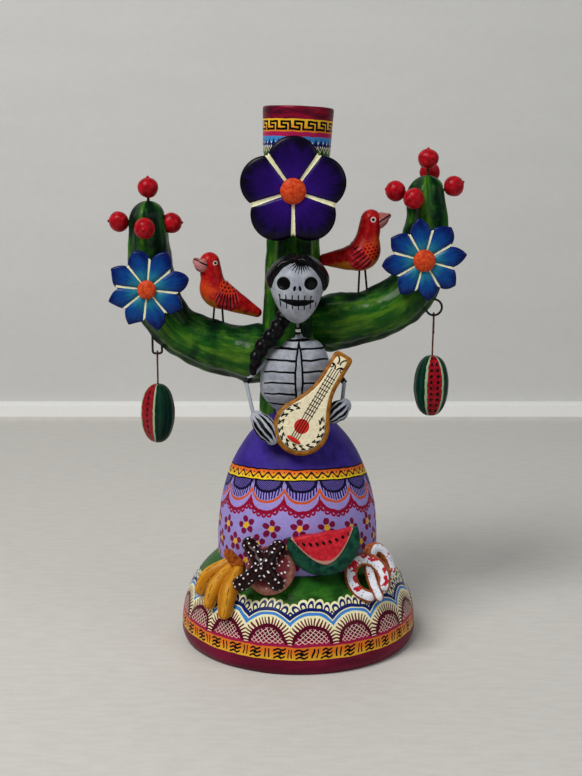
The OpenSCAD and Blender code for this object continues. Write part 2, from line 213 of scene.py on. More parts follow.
def sweep(name, node, paint, stops, section=None, flat=1.0, side=(0, 1, 0), steps=10, sides=48,
          domes=8, replaces=True, move=None):
    """A modelled clay form along a path. section(angle in degrees, distance along, point on the plain
    tube) scales the radius there. The faces carry "around" in degrees and "along" in millimetres."""
    stations = rings(stops, steps, domes, Vector(side))
    length = stations[-1][4]
    rows = []
    for centre, r, across, out, s in stations:
        row = []
        for j in range(sides):
            a = TURN * j / sides
            spoke = cos(a) * across + flat * sin(a) * out
            p = centre + r * spoke
            if section:
                p = centre + r * section(degrees(a), s / length, p) * spoke
            row.append(move(p) if move else p)
        rows.append(row)
    verts, faces = skin(rows)
    around, along = [], []
    for f in faces:
        for v in f:
            i, j = divmod(v, sides)
            wrap = any(q % sides == sides - 1 for q in f if q < len(rows) * sides)
            if v >= len(rows) * sides:
                i = 0 if v == len(rows) * sides else len(rows) - 1
                j = min(q % sides for q in f if q != v)
                wrap = False
            around.append(360.0 if (j == 0 and wrap) else 360.0 * j / sides)
            along.append(stations[i][4])
    return piece(name, verts, faces, node, paint, replaces, {"around": around, "along": along})


def lathe(name, node, paint, profile, sides=160, turn=None, wobble=None, replaces=True):
    """A turned form: profile points (radius, height), placed by the matrix "turn"."""
    place = turn or Matrix()
    rows = []
    for r, z in profile:
        row = []
        for j in range(sides):
            a = TURN * j / sides
            p = Vector((r * cos(a), r * sin(a), z))
            if wobble:
                p += wobble(p)
            row.append(place @ p)
        rows.append(row)
    return piece(name, *skin(rows, True, (profile[0][0] > 0, profile[-1][0] > 0)), node, paint, replaces)


def arc(cx, cz, r, start, end, n):
    """Profile points on an arc, angles in degrees from +radius towards +height."""
    angles = [radians(start + (end - start) * i / n) for i in range(n + 1)]
    return [(cx + r * cos(a), cz + r * sin(a)) for a in angles]


# ---------------------------------------------------------------- paints, as node materials

def srgb(r, g, b):
    """A colour given as 0 to 255 sRGB, as the linear colour that shaders use."""
    def linear(c):
        c /= 255
        return c / 12.92 if c <= 0.04045 else ((c + 0.055) / 1.055) ** 2.4
    return (linear(r), linear(g), linear(b), 1.0)


def add_node(tree, kind, inputs, **settings):
    """A new node with these settings, whose inputs are linked or given their values."""
    node = tree.nodes.new("ShaderNode" + kind)
    for key, value in settings.items():
        setattr(node, key, value)
    for key, value in inputs.items():
        value = value.socket if isinstance(value, Val) else value
        if isinstance(value, bpy.types.NodeSocket):
            tree.links.new(value, node.inputs[key])
        else:
            node.inputs[key].default_value = value
    return node


class Val:
    """A number that varies over a surface. Arithmetic on it adds math nodes to its material."""

    def __init__(self, tree, socket):
        self.tree, self.socket = tree, socket

    def op(self, kind, *others, first=None):
        inputs = ([first] if first is not None else []) + [self, *others]
        return Val(self.tree, add_node(self.tree, "Math", dict(enumerate(inputs)),
                                       operation=kind).outputs[0])

    def __add__(self, o): return self.op("ADD", o)
    def __radd__(self, o): return self.op("ADD", o)
    def __sub__(self, o): return self.op("SUBTRACT", o)
    def __rsub__(self, o): return self.op("SUBTRACT", first=o)
    def __mul__(self, o): return self.op("MULTIPLY", o)
    def __rmul__(self, o): return self.op("MULTIPLY", o)
    def __truediv__(self, o): return self.op("DIVIDE", o)
    def __gt__(self, o): return self.op("GREATER_THAN", o)
    def __lt__(self, o): return self.op("LESS_THAN", o)
    def __abs__(self): return self.op("ABSOLUTE")


def sine(x): return x.op("SINE")
def root(x): return x.op("SQRT")
def fraction(x): return x.op("FRACT")
def floor(x): return x.op("FLOOR")
def lowest(a, b): return a.op("MINIMUM", b)
def highest(a, b): return a.op("MAXIMUM", b)
def angle_of(y, x): return y.op("ARCTAN2", x) * degrees(1)
def length_of(x, y): return root(x * x + y * y)


def cell(x, pitch, start=0.0):
    """Distance from the middle of the nearest of the cells "pitch" wide, one of which is at start."""
    return (fraction((x - start) / pitch + 0.5) - 0.5) * pitch


def between(x, low, high):
    return (x > low) * (x < high)


def line(x, middle, width):
    """1 on a stroke of this width."""
    return abs(x - middle) < width / 2


def rise(x, low, high):
    """A soft step from 0 at low to 1 at high."""
    node = add_node(x.tree, "MapRange", {"Value": x, "From Min": low, "From Max": high},
                    interpolation_type="SMOOTHSTEP")
    return Val(x.tree, node.outputs["Result"])


class Paint:
    """A material under construction, with the surface point x, y, z in millimetres."""

    def __init__(self, name):
        self.material = bpy.data.materials.new(name)
        self.material.use_nodes = True
        self.tree = self.material.node_tree
        self.tree.nodes.clear()
        metres = self.add("TexCoord", {}).outputs["Object"]
        self.point = self.add("VectorMath", {0: metres, "Scale": 1 / MM}, operation="SCALE").outputs[0]
        split = self.add("SeparateXYZ", {0: self.point})
        self.x, self.y, self.z = (Val(self.tree, s) for s in split.outputs)

    def add(self, kind, inputs, **settings):
        return add_node(self.tree, kind, inputs, **settings)

    def attribute(self, key):
        return Val(self.tree, self.add("Attribute", {}, attribute_name=key).outputs["Fac"])

    def vector(self, x, y, z):
        return self.add("CombineXYZ", {0: x, 1: y, 2: z}).outputs[0]

    def noise(self, size, detail=3.0, where=None):
        """Noise from about 0.3 to 0.7, with patches "size" millimetres across."""
        node = self.add("TexNoise", {"Vector": where or self.point, "Scale": 1 / size, "Detail": detail,
                                     "Roughness": 0.55})
        return Val(self.tree, node.outputs["Fac"])

    def dots(self, size, radius, where=None):
        """1 inside round dots scattered about "size" millimetres apart, over "where" if it is given."""
        node = self.add("TexVoronoi", {"Vector": where or self.point, "Scale": 1 / size,
                                       "Randomness": 0.7},
                        voronoi_dimensions="2D" if where else "3D")
        return Val(self.tree, node.outputs["Distance"]) < radius / size

    def mix(self, mask, below, above):
        """The colour "above" where mask is 1, over "below"."""
        return self.add("Mix", {"Factor": mask, 6: below, 7: above}, data_type="RGBA").outputs[2]

    def over(self, mask, colour):
        """Paints this colour where mask is 1."""
        self.colour = self.mix(mask, self.colour, colour)

    def patchy(self, dark, light, size, detail, low=0.35, high=0.65):
        """A mix of two colours in soft patches "size" millimetres across."""
        return self.mix(rise(self.noise(size, detail), low, high), dark, light)

    def shade(self, colour, amount, value):
        """The colour darkened by up to "amount" where value is 0, and lightened where it is 1."""
        bright = value * (2 * amount) + (1 - amount)
        return self.add("HueSaturation", {"Value": bright, "Color": colour}).outputs[0]

    def finish(self, rough=0.38, coat=0.35, coat_rough=0.18, bumps=(), brush=0.12):
        """Varnished paint: brush-marked colour, uneven gloss, and bumps [(height, millimetres)]."""
        streak = self.noise(1.6, 4.0, self.vector(self.x, self.y * 0.6, self.z * 2.2))
        tone = rise(streak * 0.6 + self.noise(9.0, 2.0) * 0.4, 0.3, 0.7)
        bump = None
        for height, depth in [(streak, 0.10), (self.noise(0.5, 2.0), 0.03), *bumps]:
            below = {"Normal": bump.outputs[0]} if bump else {}
            bump = self.add("Bump", {"Height": height, "Distance": depth * MM, **below})
        bsdf = self.add("BsdfPrincipled", {
            "Base Color": self.shade(self.colour, brush, tone),
            "Roughness": streak * 0.24 + (rough - 0.12),
            "Coat Weight": coat * VARNISH, "Coat Roughness": coat_rough, "Specular IOR Level": SHEEN,
            "Normal": bump.outputs[0]})
        self.add("OutputMaterial", {"Surface": bsdf.outputs[0]})
        return self.material


VARNISH, SHEEN = 0.22, 0.06              # how much gloss the varnish and the paint have left
BLACK = srgb(7, 7, 10)
WHITE = srgb(236, 238, 240)
CREAM = srgb(240, 234, 188)


# ---------------------------------------------------------------- sizes of the painted patterns

SCALLOPS_BASE = 17
SCALLOPS_SKIRT = 13
BAND_FOOT, HEM_TILT = 95.4, 0.115        # height of the band's foot, and how it drops to the front
FRETS = 33
WAVES = 38
KEYS = 16
SPIKES = 34
HEAD_R, CHIN = 15.0, 20.6                # across the head, and from its centre down to the chin
EYE_X, EYE_Z, EYE_R = 7.4, 6.7, 3.7      # from the middle of the skull's box
MOUTH_Z = -3.0
SLICE_DEEP, SLICE_HALF, RIND = 23.5, 17.2, 6.2
ICED_SIDE = 90                           # "around" at the middle of the icing
NAVY = srgb(12, 26, 96)
MAROON = srgb(104, 12, 44)
LAVENDER = srgb(160, 146, 214)


def unsteady(p, size=7.0):
    """The wander of a painter's hand, about -0.15 to 0.15."""
    return p.noise(size, 1.0) - 0.5


def brushed(p, dark, light, size=2.4, stretch=(1.0, 1.0, 0.25), low=0.42, high=0.6):
    """Streaks of a lighter colour over a darker one."""
    where = p.vector(p.x * stretch[0], p.y * stretch[1], p.z * stretch[2])
    return p.mix(rise(p.noise(size, 5.0, where), low, high), dark, light)


def painted_base():
    p = Paint("painted_base")
    sway = unsteady(p, 10.0)
    mm = length_of(p.x, p.y) * (TURN / 360)
    azimuth = angle_of(p.x, p.y * -1) + sway * 4
    z = p.z + sway * 1.3
    grass = brushed(p, srgb(22, 66, 20), srgb(56, 112, 32), 3.0, (0.35, 0.35, 0.9), 0.34, 0.7)
    p.colour = p.mix(rise(z + p.noise(3.0) * 8, 44, 50), grass, srgb(34, 88, 26))

    # scallops: rings about a centre on the line, from the outside in
    u = cell(azimuth, 360 / SCALLOPS_BASE, 6.2) * mm
    w = z - 16.4
    r = length_of(u, w)
    loop = length_of(cell(angle_of(u, w), 12.6) * 0.34, (r - 19.2) * 0.72)
    p.over(highest(r < 20.2, loop < 2.6), CREAM)
    p.over(highest(loop < 1.85, r < 18.9), NAVY)
    p.over((loop < 0.95) * (r > 18.9), CREAM)
    p.over(r < 17.3, CREAM)
    p.over(between(r, 15.4, 16.8), srgb(62, 132, 208))
    tick = abs(cell(angle_of(u, w), 8.2)) * r * 0.0175
    p.over((tick < 0.52 - (r - 11) * 0.05) * (r < 14.3), MAROON)
    p.over(r < 10.9, srgb(82, 8, 34))
    inner = p.mix(rise(w, 0, 5), srgb(166, 24, 74), srgb(98, 8, 40))
    p.over(r < 9.3, inner)
    hatch = lowest(abs(cell(u + w * 1.15, 2.7)), abs(cell(u - w * 1.15, 2.7))) < 0.22
    p.over(hatch * (r < 8.9) * (w > 1.2), srgb(236, 214, 196))

    # the plain lines and the band of frets below them
    p.over(z < 17.2, srgb(160, 26, 70))
    band = p.mix(rise(z + p.noise(2.0) * 3, 10.5, 15.5), srgb(236, 178, 42), srgb(222, 118, 32))
    p.over(z < 16.0, band)
    u = cell(azimuth, 360 / FRETS, 1.5) * mm
    wave = abs(cell(z + sine(u * 1.5) * 0.42, 2.0, 12.5)) < 0.56
    knot = abs(u) + abs(z - 12.5) < 1.5
    bars = line(abs(u), 6.47 - 1.05, 0.8) * between(z, 10.2, 14.9)
    fret = highest(wave * (abs(u) < 3.2) * between(z, 9.6, 15.4), knot)
    p.over(highest(fret, bars), BLACK)
    rim = brushed(p, srgb(92, 10, 38), srgb(124, 16, 54), 9.0, (0.3, 0.3, 2.0), 0.35, 0.75)
    p.over(z < 9.1, rim)
    return p.finish(rough=0.36, coat=0.4, bumps=[(p.noise(22.0, 2.0), 0.5)])


def painted_skirt():
    p = Paint("painted_skirt")
    middle = (box("skirt")[0].x + box("skirt")[1].x) / 2
    x = p.x - middle
    sway = unsteady(p, 6.0)
    mm = length_of(x, p.y) * (TURN / 360)
    azimuth = angle_of(x, p.y * -1) + sway * 3
    v = BAND_FOOT - (p.z + p.y * HEM_TILT + sway * 1.2)    # down from the band's foot
    p.colour = LAVENDER

    # rows of five-petalled flowers
    for row, (down, shift) in enumerate(((26.0, 1.0), (35.5, 11.0), (45.0, 1.0))):
        jitter = sine(floor((azimuth - shift) / 20 + 0.5) * 2.4 + row) * 0.7
        a = cell(azimuth, 20, shift) * mm
        b = v - down + jitter
        rho = length_of(a, b)
        petal = cell(angle_of(a, b * -1) + jitter * 20, 72) * radians(1)
        across, out = rho * sine(petal), rho * petal.op("COSINE")
        inside = length_of(across * 1.12, out - 3.5) < 1.95
        p.over(inside, p.mix(p.noise(1.2, 2.0), srgb(88, 4, 46), srgb(148, 28, 78)))
        p.over(rho < 1.65, srgb(232, 182, 52))

    u = cell(azimuth, 360 / SCALLOPS_SKIRT, 3.0) * mm
    # crimson lace
    r = length_of(u, v - 6.4)
    loop = length_of(cell(angle_of(u, v - 6.4), 15.4) * 0.205, (r - 11.9) * 0.78)
    crimson = srgb(148, 12, 50)
    p.over((loop < 1.6) * (v > 4), crimson)
    p.over((loop < 0.6) * (r > 11.7), LAVENDER)
    p.over(between(r, 10.0, 11.9) * (v > 8), crimson)
    # orange line, navy fringe, hatched half discs
    r = length_of(u, v - 1.4)
    inner = p.mix(r < 9.7, p.colour, LAVENDER)
    p.colour = p.mix(between(r, 9.7, 11.1) * (v > 4), inner, srgb(206, 88, 40))
    fringe = (abs(cell(u, 1.6)) < 0.45) * (r < 8.7 + p.noise(1.3) * 1.2)
    p.over(fringe, srgb(34, 20, 100))
    r = length_of(u / 9.0, v / 6.8)
    p.over(r < 1.0, srgb(20, 14, 48))
    hatch = lowest(abs(cell(u + v, 1.2)), abs(cell(u - v, 1.2))) < 0.15
    p.over(r < 0.80, p.mix(hatch, srgb(28, 18, 74), srgb(112, 96, 176)))

    # the band, its wave and dots, and the plain top
    violet = brushed(p, srgb(52, 36, 126), srgb(64, 46, 144), 9.0, (1, 1, 0.6))
    p.over(v < 0, violet)
    band = p.mix(rise(v + p.noise(2.0) * 2, -4.6, 0.6), srgb(228, 96, 34), srgb(242, 208, 44))
    p.over(between(v, -5.7, 0.0), band)
    wave = sine((azimuth - sway * 2) * (radians(1) * WAVES))
    swing = v + 2.85 + wave * 1.25
    p.over(abs(swing) < 0.62, srgb(32, 20, 30))
    dot = length_of(cell(azimuth, 180 / WAVES, 90 / WAVES) * mm, v + 2.85 - wave * 1.35) < 0.5
    p.over(dot, srgb(150, 26, 34))
    edge = highest(line(v, 0.0, 0.75), line(v, -5.9, 0.75))
    p.over(edge, BLACK)
    return p.finish(rough=0.48, coat=0.12, coat_rough=0.3, bumps=[(p.noise(26.0, 2.0), 0.5)])


def painted_cup(turn):
    p = Paint("painted_cup")
    x, y, h = in_frame(p, turn)
    sway = unsteady(p, 5.0)
    h = h + sway * 0.9
    rho = length_of(x, y)
    azimuth = angle_of(x, y * -1) + sway * 3
    mm = 0.35
    p.colour = brushed(p, srgb(20, 70, 28), srgb(60, 120, 34))
    u = cell(azimuth, 360 / SPIKES) * mm
    point = abs(u) * 1.9
    p.over(h > 3.3 + point, CREAM)
    p.over(h > 4.5 + point, NAVY)
    p.over(length_of(u, (h - 6.9) * 0.6) < 0.42, WHITE)
    p.over(h > 9.2, srgb(66, 140, 206))
    p.over((h < 11.6 - abs(u) * 3.0) * (h > 8.9), NAVY)
    half = (abs(u) - 180 / SPIKES * mm) * 1.4
    p.over(length_of(half, h - 9.1) < 0.6, WHITE)
    p.over(h > 12.5, srgb(176, 30, 84))
    band = p.mix(rise(h + p.noise(2.5) * 5, 16, 23), srgb(224, 116, 32), srgb(240, 186, 44))
    p.over(h > 15.0, band)
    u = cell(azimuth, 360 / KEYS) * mm
    v = (h - 18.4) * 1.12

    def bar(u0, u1, at_v):
        return line(v, at_v, 1.4) * between(u, u0 - 0.5, u1 + 0.5)

    def post(at_u, v0, v1):
        return line(u, at_u, 1.3) * between(v, v0 - 0.5, v1 + 0.5)

    key = bar(-1.7, 3.3, 2.25)
    for part in (post(-1.7, 0.1, 2.2), bar(-1.7, 1.2, 0.1), post(1.2, -2.2, 0.1), bar(-4.4, 1.2, -2.25),
                 post(3.3, -2.2, 2.2), bar(3.3, 4.4, -2.25)):
        key = highest(key, part)
    p.over(key, BLACK)
    rim = brushed(p, srgb(66, 10, 32), srgb(146, 16, 46), 5.0, (0.35, 0.35, 1.5), 0.3, 0.75)
    p.over(h > 21.9, rim)
    p.over((rho < 17.5) * (h > 20), rim)
    p.over(rho < 11.6, srgb(60, 24, 24))
    return p.finish(rough=0.34, coat=0.45, bumps=[(p.noise(12.0, 2.0), 0.3)])


def in_frame(p, turn):
    """The surface point in the frame of the matrix "turn" (millimetres)."""
    back = turn.inverted()
    return [p.x * row[0] + p.y * row[1] + p.z * row[2] + row[3] for row in back[:3]]


def cactus(name, crests, tip=None):
    """Green clay with its light and shade painted on: painted shade in the grooves and at the crests,
    and painted light, bright with yellow-green strokes, between.
    crests: how many there are round it. tip: where along it the ribs of its tip start."""
    p = Paint(name)
    around, along = p.attribute("around"), p.attribute("along")
    patch = p.noise(13.0, 3.0)
    off = abs(cell(around, 360 / crests, 180 / crests)) / (180 / crests)
    # painted shade: darker towards the crests, with dark patches here and there
    painted_shade = off * 0.85 + (patch - 0.5) * 2.1
    # towards the tip, painted shade in stripes round it where its ribs are
    if tip:
        rib = abs(cell(around + patch * 60, 72, 36)) / 36
        near = rise(along, tip - 14, tip + 8)
        painted_shade = painted_shade + near * (rib * 0.85 - off * 0.4)
    turn = around * radians(1)
    stroke = p.noise(3.2, 4.0, p.vector(sine(turn) * 15, turn.op("COSINE") * 15, along * 0.22))
    # painted light between the crests, and a shaded copy of the same green nearer them, both streaked
    bright = p.mix(rise(stroke, 0.4, 0.68), srgb(26, 80, 20), srgb(78, 118, 30))
    middle = p.mix(rise(stroke, 0.4, 0.7), srgb(8, 44, 16), srgb(28, 80, 26))
    p.colour = p.mix(rise(painted_shade, 0.12, 0.62), bright, middle)
    p.over(rise(painted_shade, 0.5, 0.95), srgb(3, 26, 13))
    return p.finish(rough=0.34, coat=0.55, coat_rough=0.14,
                    bumps=[(p.noise(3.4, 3.0), 0.5), (p.noise(9.0, 2.0), 0.7)])


def petals_paint(name, centre, petals, first, reach, cream_to, colours, width):
    """Petals round a centre: fine strokes outwards and cream lines in the valleys."""
    p = Paint(name)
    x, z = p.x - centre.x, p.z - centre.z
    rho = length_of(x, z)
    angle = angle_of(z, x)
    off = abs(cell(angle, 360 / petals, first))                  # 0 along the middle of a petal
    rays = p.noise(1.0, 4.0, p.vector(sine(angle * radians(1)) * 26, angle * 0.08, rho * 0.12))
    out = rho / reach + (rays - 0.5) * 0.5
    inner, mid, edge = colours
    p.colour = p.mix(rise(out, 0.28, 0.62), inner, mid)
    lobe = out + off / (180 / petals) * 0.16
    p.over(rise(lobe, 0.66, 1.0), edge)
    valley = rho * sine((180 / petals - off) * radians(1))
    cream = (valley < width * (0.3 + rho / reach * 0.4) + (p.noise(2.0) - 0.5) * 0.5) * (rho < cream_to)
    front = p.y < centre.y - 2.0
    p.over(cream * front, srgb(236, 232, 190))
    return p.finish(rough=0.32, coat=0.6, coat_rough=0.14, bumps=[(rays, 0.1)])


def plain_paint(name, dark, light, size=3.0, rough=0.36, coat=0.4, grain=0.25, coat_rough=0.16):
    """One paint over clay, thicker in some places than in others."""
    p = Paint(name)
    p.colour = p.patchy(dark, light, size, 5.0)
    return p.finish(rough, coat, coat_rough, bumps=[(p.noise(size * 0.7, 3.0), grain)])


def bone(name):
    """The start of a paint for bones: pale grey with a worn, faintly speckled face."""
    p = Paint(name)
    p.colour = p.patchy(srgb(146, 151, 162), srgb(172, 177, 186), 5.0, 4.0, 0.35, 0.68)
    return p


def torso_paint():
    p = bone("ribs")
    mid = at("torso", 0.5, 0.5, 0.5)
    x = p.x - (mid.x + 1.6) + unsteady(p) * 1.0
    z = p.z - mid.z + unsteady(p, 9.0) * 1.6
    side = abs(x)
    rib = abs(cell(z - side * 0.07 + side * side * 0.004, 6.2, 1.6))
    reach = 19.5 - rise(z, 8, 24) * 14
    ribs = (rib < 0.66 - side * 0.01) * between(z, -22, 16.5) * (side < reach)
    spindle = 2.1 - (z + 2) * (z + 2) * 0.0056
    front = p.y < mid.y
    ribs = highest(ribs, line(z, 18.6, 1.1) * (side < 9.5))
    ribs = highest(ribs * (side > spindle), line(side, spindle, 1.15) * between(z, -20, 20.6))
    p.over(ribs * front, BLACK)
    return p.finish(rough=0.45, coat=0.2, bumps=[(p.noise(8.0), 0.4)])


def skull_paint():
    p = bone("skull_face")
    mid = at("skull", 0.5, 0.5, 0.5)
    x, z = p.x - mid.x, p.z - mid.z
    front = p.y < mid.y
    marks = length_of(abs(x) - EYE_X, (z - EYE_Z) * 1.04) < EYE_R
    nose = length_of((abs(x) - 1.4 - (4.6 - z) * 0.16) * 1.9, z - 4.2) < 1.45
    mouth_z = z - MOUTH_Z + x * 0.05 - unsteady(p, 3.0) * 0.9
    mouth = between(mouth_z, -2.3 + x * x * 0.028, 1.1) * (abs(x) < 9.2)
    stitch_x = abs(cell(x - z * x * 0.012 + unsteady(p, 2.5) * 0.8, 3.4, 0.6))
    stitches = (stitch_x < 0.33) * between(mouth_z, -4.6 + x * x * 0.014, 3.6) * (abs(x) < 10.4)
    px, pz = x - 2.2, z - 19.6                                   # from where the wisps of hair start
    out, aside = length_of(px, pz), angle_of(px, pz * -1)
    fan = abs(cell(aside, 13)) * out * 0.0175
    length = 7.0 + sine(aside * 0.9) * 1.4
    wisps = (fan < 0.5 - out * 0.022) * (out < length) * (abs(aside) < 74)
    for mark in (nose, mouth, stitches, wisps):
        marks = highest(marks, mark)
    p.over(marks * front, srgb(3, 3, 4))
    return p.finish(rough=0.4, coat=0.35, coat_rough=0.12)


def hand_paint(name, first):
    p = bone(name)
    around, along = p.attribute("around"), p.attribute("along")
    stripe = abs(cell(around + unsteady(p, 4.0) * 16, 33, first))
    ends = rise(along, -2, 3) * (1 - rise(along, 13.5, 17.5))
    p.over(stripe < ends * 9.5, BLACK)
    return p.finish(rough=0.42, coat=0.25)


def hair_paint(name):
    p = Paint(name)
    strand = p.noise(0.8, 5.0, p.vector(p.x * 0.9, p.y * 0.25, p.z * 0.25))
    p.colour = p.mix(rise(strand, 0.5, 0.75), srgb(5, 5, 8), srgb(26, 26, 32))
    p.over(rise(p.noise(5.0, 2.0), 0.56, 0.7) * 0.6, srgb(44, 12, 16))
    return p.finish(rough=0.3, coat=0.7, coat_rough=0.12, bumps=[(strand, 0.35), (p.noise(3.0), 0.4)])


def banded_paint(name, base, marks=()):
    """A paint with bands of another colour between heights: marks [(low, high, colour)]."""
    p = Paint(name)
    p.colour = p.patchy(base, tuple(min(1, c * 1.15) for c in base), 1.5, 4.0, 0.4, 0.65)
    for low, high, other in marks:
        p.over(between(p.z, low, high), other)
    return p.finish(rough=0.4, coat=0.3)


def instrument_face(turn):
    p = Paint("instrument_face")
    x, y, _ = in_frame(p, turn)
    rho, phi = length_of(x, y), angle_of(x, y)
    p.colour = p.patchy(srgb(232, 222, 190), srgb(214, 198, 160), 1.2, 4.0, 0.45, 0.75)
    off_neck = abs(phi) > 26
    edge = line(rho, 13.0, 0.35) * (abs(phi) > 32)
    a = cell(phi + unsteady(p, 4.0) * 6, 21.0) * 0.2                # mm along the border
    zed = highest((abs(rho - 11.3 + a * 0.7) < 0.5) * (abs(a) < 1.6),
                  highest(line(rho, 12.3, 0.7) * between(a, -1.9, 0.7),
                          line(rho, 10.2, 0.7) * between(a, -0.7, 1.9)))
    p.over(highest(edge, zed * (abs(phi) > 34)) * off_neck, BLACK)
    side = line(abs(x) - 4.05 - rise(y * -1, -29, -12) * 5.4, 0.0, 0.34) * between(y, 11.5, 44.4)
    p.over(side, BLACK)
    p.over(length_of(x, y - 0.4) < 4.1, srgb(190, 40, 32))
    strings = (abs(cell(x, 1.35, 0.67)) < 0.25) * (abs(x) < 2.5) * between(y, -8.5, 36.0)
    p.over(strings, srgb(20, 16, 18))
    frets = (abs(cell(y, 2.6)) < 0.27) * between(y, 7.0, 33.0) * (abs(x) < 2.7)
    p.over(frets, srgb(20, 16, 18))
    fork = line(length_of(abs(x) - 3.3, y - 36.2), 2.7, 0.85) * (y > 36.2) * (abs(x) < 3.4)
    hook = line(length_of(abs(x) - 3.9, y - 40.6), 3.3, 0.85) * (y > 39.6) * (abs(x) < 3.6)
    curl = line(length_of(abs(x) - 3.1, y - 37.4), 0.9, 0.7)
    p.over(highest(fork, highest(hook, curl)), BLACK)
    return p.finish(rough=0.42, coat=0.25)


def bird_paint(name, node, eye, iris, fan, reach, pitch, lean, far):
    """A red bird. eye and fan: offsets in x and z from the middle of its box, "iris" being the
    eye's radius and fan where the wing's feather lines meet. They start "reach" from there, one
    every "pitch" degrees about a middle one that is "lean" degrees off straight down, and are
    longest "far" mm to its right."""
    p = Paint(name)
    low, high = box(node)
    mid = (low + high) / 2
    height = (p.z - low.z) / (high.z - low.z)
    forward = (p.x - mid.x) / (high.x - low.x) * copysign(1, eye[0]) + 0.5
    stroke = p.noise(3.2, 2.5)
    p.colour = p.mix(rise(stroke, 0.4, 0.65), srgb(150, 12, 20), srgb(190, 30, 28))
    warm = rise(forward * 0.9 - abs(height - 0.42) * 1.6 + stroke * 0.5, 0.66, 1.05)
    p.over(warm, srgb(196, 66, 28))
    belly = rise(forward * 0.55 - height * 1.7 + stroke * 0.3, 0.05, 0.2)
    p.over(belly, srgb(176, 104, 28))
    dx, dz = p.x - (mid.x + fan[0]), p.z - (mid.z + fan[1])
    rho = length_of(dx, dz)
    phi = angle_of(dx, dz * -1) - lean
    s, t = rho - reach, phi * rho * radians(1)              # along and across the feathers
    end = (t - far) * (t - far) * -0.072 + 10.6
    feathers = length_of((s - 4.2) / 6.6, (t - far * 0.3) / 6.9) < 1.0
    p.over(feathers, p.mix(rise(stroke, 0.42, 0.6), srgb(164, 20, 32), srgb(206, 52, 58)))
    speckled = length_of((s + 3.4) / 4.2, (t - far * 0.6) / 5.0) < 1.0
    p.over(speckled, srgb(206, 56, 30))
    dots = length_of(cell(s, 2.0, 0.6), cell(t + floor(s / 2.0 + 0.2) * 1.1, 2.1)) < 0.55
    p.over(dots * speckled * (s < -1.0), BLACK)
    lines = abs(cell(phi, pitch)) * rho * radians(1) < 0.42 - abs(s - 3) * 0.03
    p.over(lines * between(s, 0.0, end) * feathers, BLACK)
    ring = length_of(p.x - (mid.x + eye[0]), p.z - (mid.z + eye[1]))
    p.over(ring < iris, srgb(228, 200, 194))
    p.over(ring < iris * 0.55, BLACK)
    return p.finish(rough=0.34, coat=0.45, coat_rough=0.14, bumps=[(p.noise(2.4), 0.25)])


def beak_paint(name, node, slope, lift):
    """A beak whose mouth line has this slope and passes "lift" mm above the middle of its box."""
    p = Paint(name)
    mid = at(node, 0.5, 0.5, 0.5)
    gap = p.z - (mid.z + lift) - (p.x - mid.x) * slope
    stroke = rise(p.noise(1.5, 3.0), 0.4, 0.65)
    p.colour = p.mix(gap > 0, p.mix(stroke, srgb(186, 116, 118), srgb(204, 138, 138)),
                   p.mix(stroke, srgb(160, 92, 88), srgb(186, 118, 110)))
    p.over(line(gap, 0.0, 1.0), srgb(20, 8, 10))
    return p.finish(rough=0.35, coat=0.4)


def melon_paint(name, face, half, row):
    """A hanging melon whose cut face is "half" degrees either side of the angle "face", with its
    seeds in rows "row" degrees either side of the middle."""
    p = Paint(name)
    around, along = p.attribute("around"), p.attribute("along")
    off = abs(cell(around, 360, face)) + unsteady(p, 4.0) * 8
    rib = abs(cell(around + unsteady(p, 6.0) * 14, 30))
    p.colour = p.mix(rise(rib + p.noise(1.4, 4.0) * 12, 8, 26), srgb(8, 40, 30), srgb(20, 64, 46))
    p.over(off < half + 8, srgb(150, 178, 140))
    flesh = p.patchy(srgb(126, 8, 22), srgb(162, 20, 34), 2.0, 3.0, 0.38, 0.66)
    p.over(off < half, flesh)
    seed = length_of(cell(along, 3.4, 1.0) * 0.85, (off - row) * 0.15) < 0.85
    p.over(seed * (off < half), BLACK)
    return p.finish(rough=0.32, coat=0.5, bumps=[(p.noise(1.2, 3.0), 0.35)])


def banana_paint(name):
    p = Paint(name)
    around, along = p.attribute("around"), p.attribute("along")
    edge = abs(cell(around + unsteady(p, 5.0) * 20, 90, 20))
    tone = rise(edge + p.noise(4.0, 4.0) * 30, 22, 52)
    p.colour = p.mix(tone, srgb(186, 118, 22), srgb(212, 150, 44))
    shift = floor(around / 60) * 4.3
    dash = (abs(cell(along + shift, 10.5, 3.0)) < 1.6) * (abs(cell(around, 60)) < 5.0)
    p.over(dash, srgb(120, 48, 16))
    return p.finish(rough=0.4, coat=0.3, bumps=[(p.noise(2.6, 3.0), 0.35)])


def bun_paint(turn):
    p = Paint("bread")
    x, y, h = in_frame(p, turn)
    glaze = rise(h + (p.noise(4.0, 3.0) - 0.5) * 6, 5.4, 7.8)
    crust = p.patchy(srgb(148, 90, 78), srgb(182, 120, 108), 2.0, 4.0, 0.38, 0.66)
    p.colour = p.mix(glaze, crust, p.mix(p.noise(1.4, 3.0), srgb(70, 18, 26), srgb(122, 44, 50)))
    p.over(p.dots(3.2, 0.5, p.vector(x, y, 0)) * glaze, WHITE)
    return p.finish(rough=0.3, coat=0.6, bumps=[(glaze, 0.3), (p.noise(1.6, 3.0), 0.25)])


def dotted_paint(name, dark, light, size, radius):
    p = Paint(name)
    p.colour = p.patchy(dark, light, 2.0, 4.0, 0.35, 0.7)
    dots = p.dots(size, radius, p.vector(p.attribute("around") * 0.07, p.attribute("along"), 0))
    p.over(dots, WHITE)
    return p.finish(rough=0.26, coat=0.6, coat_rough=0.12,
                    bumps=[(dots, 0.12), (p.noise(2.2, 3.0), 0.3)])


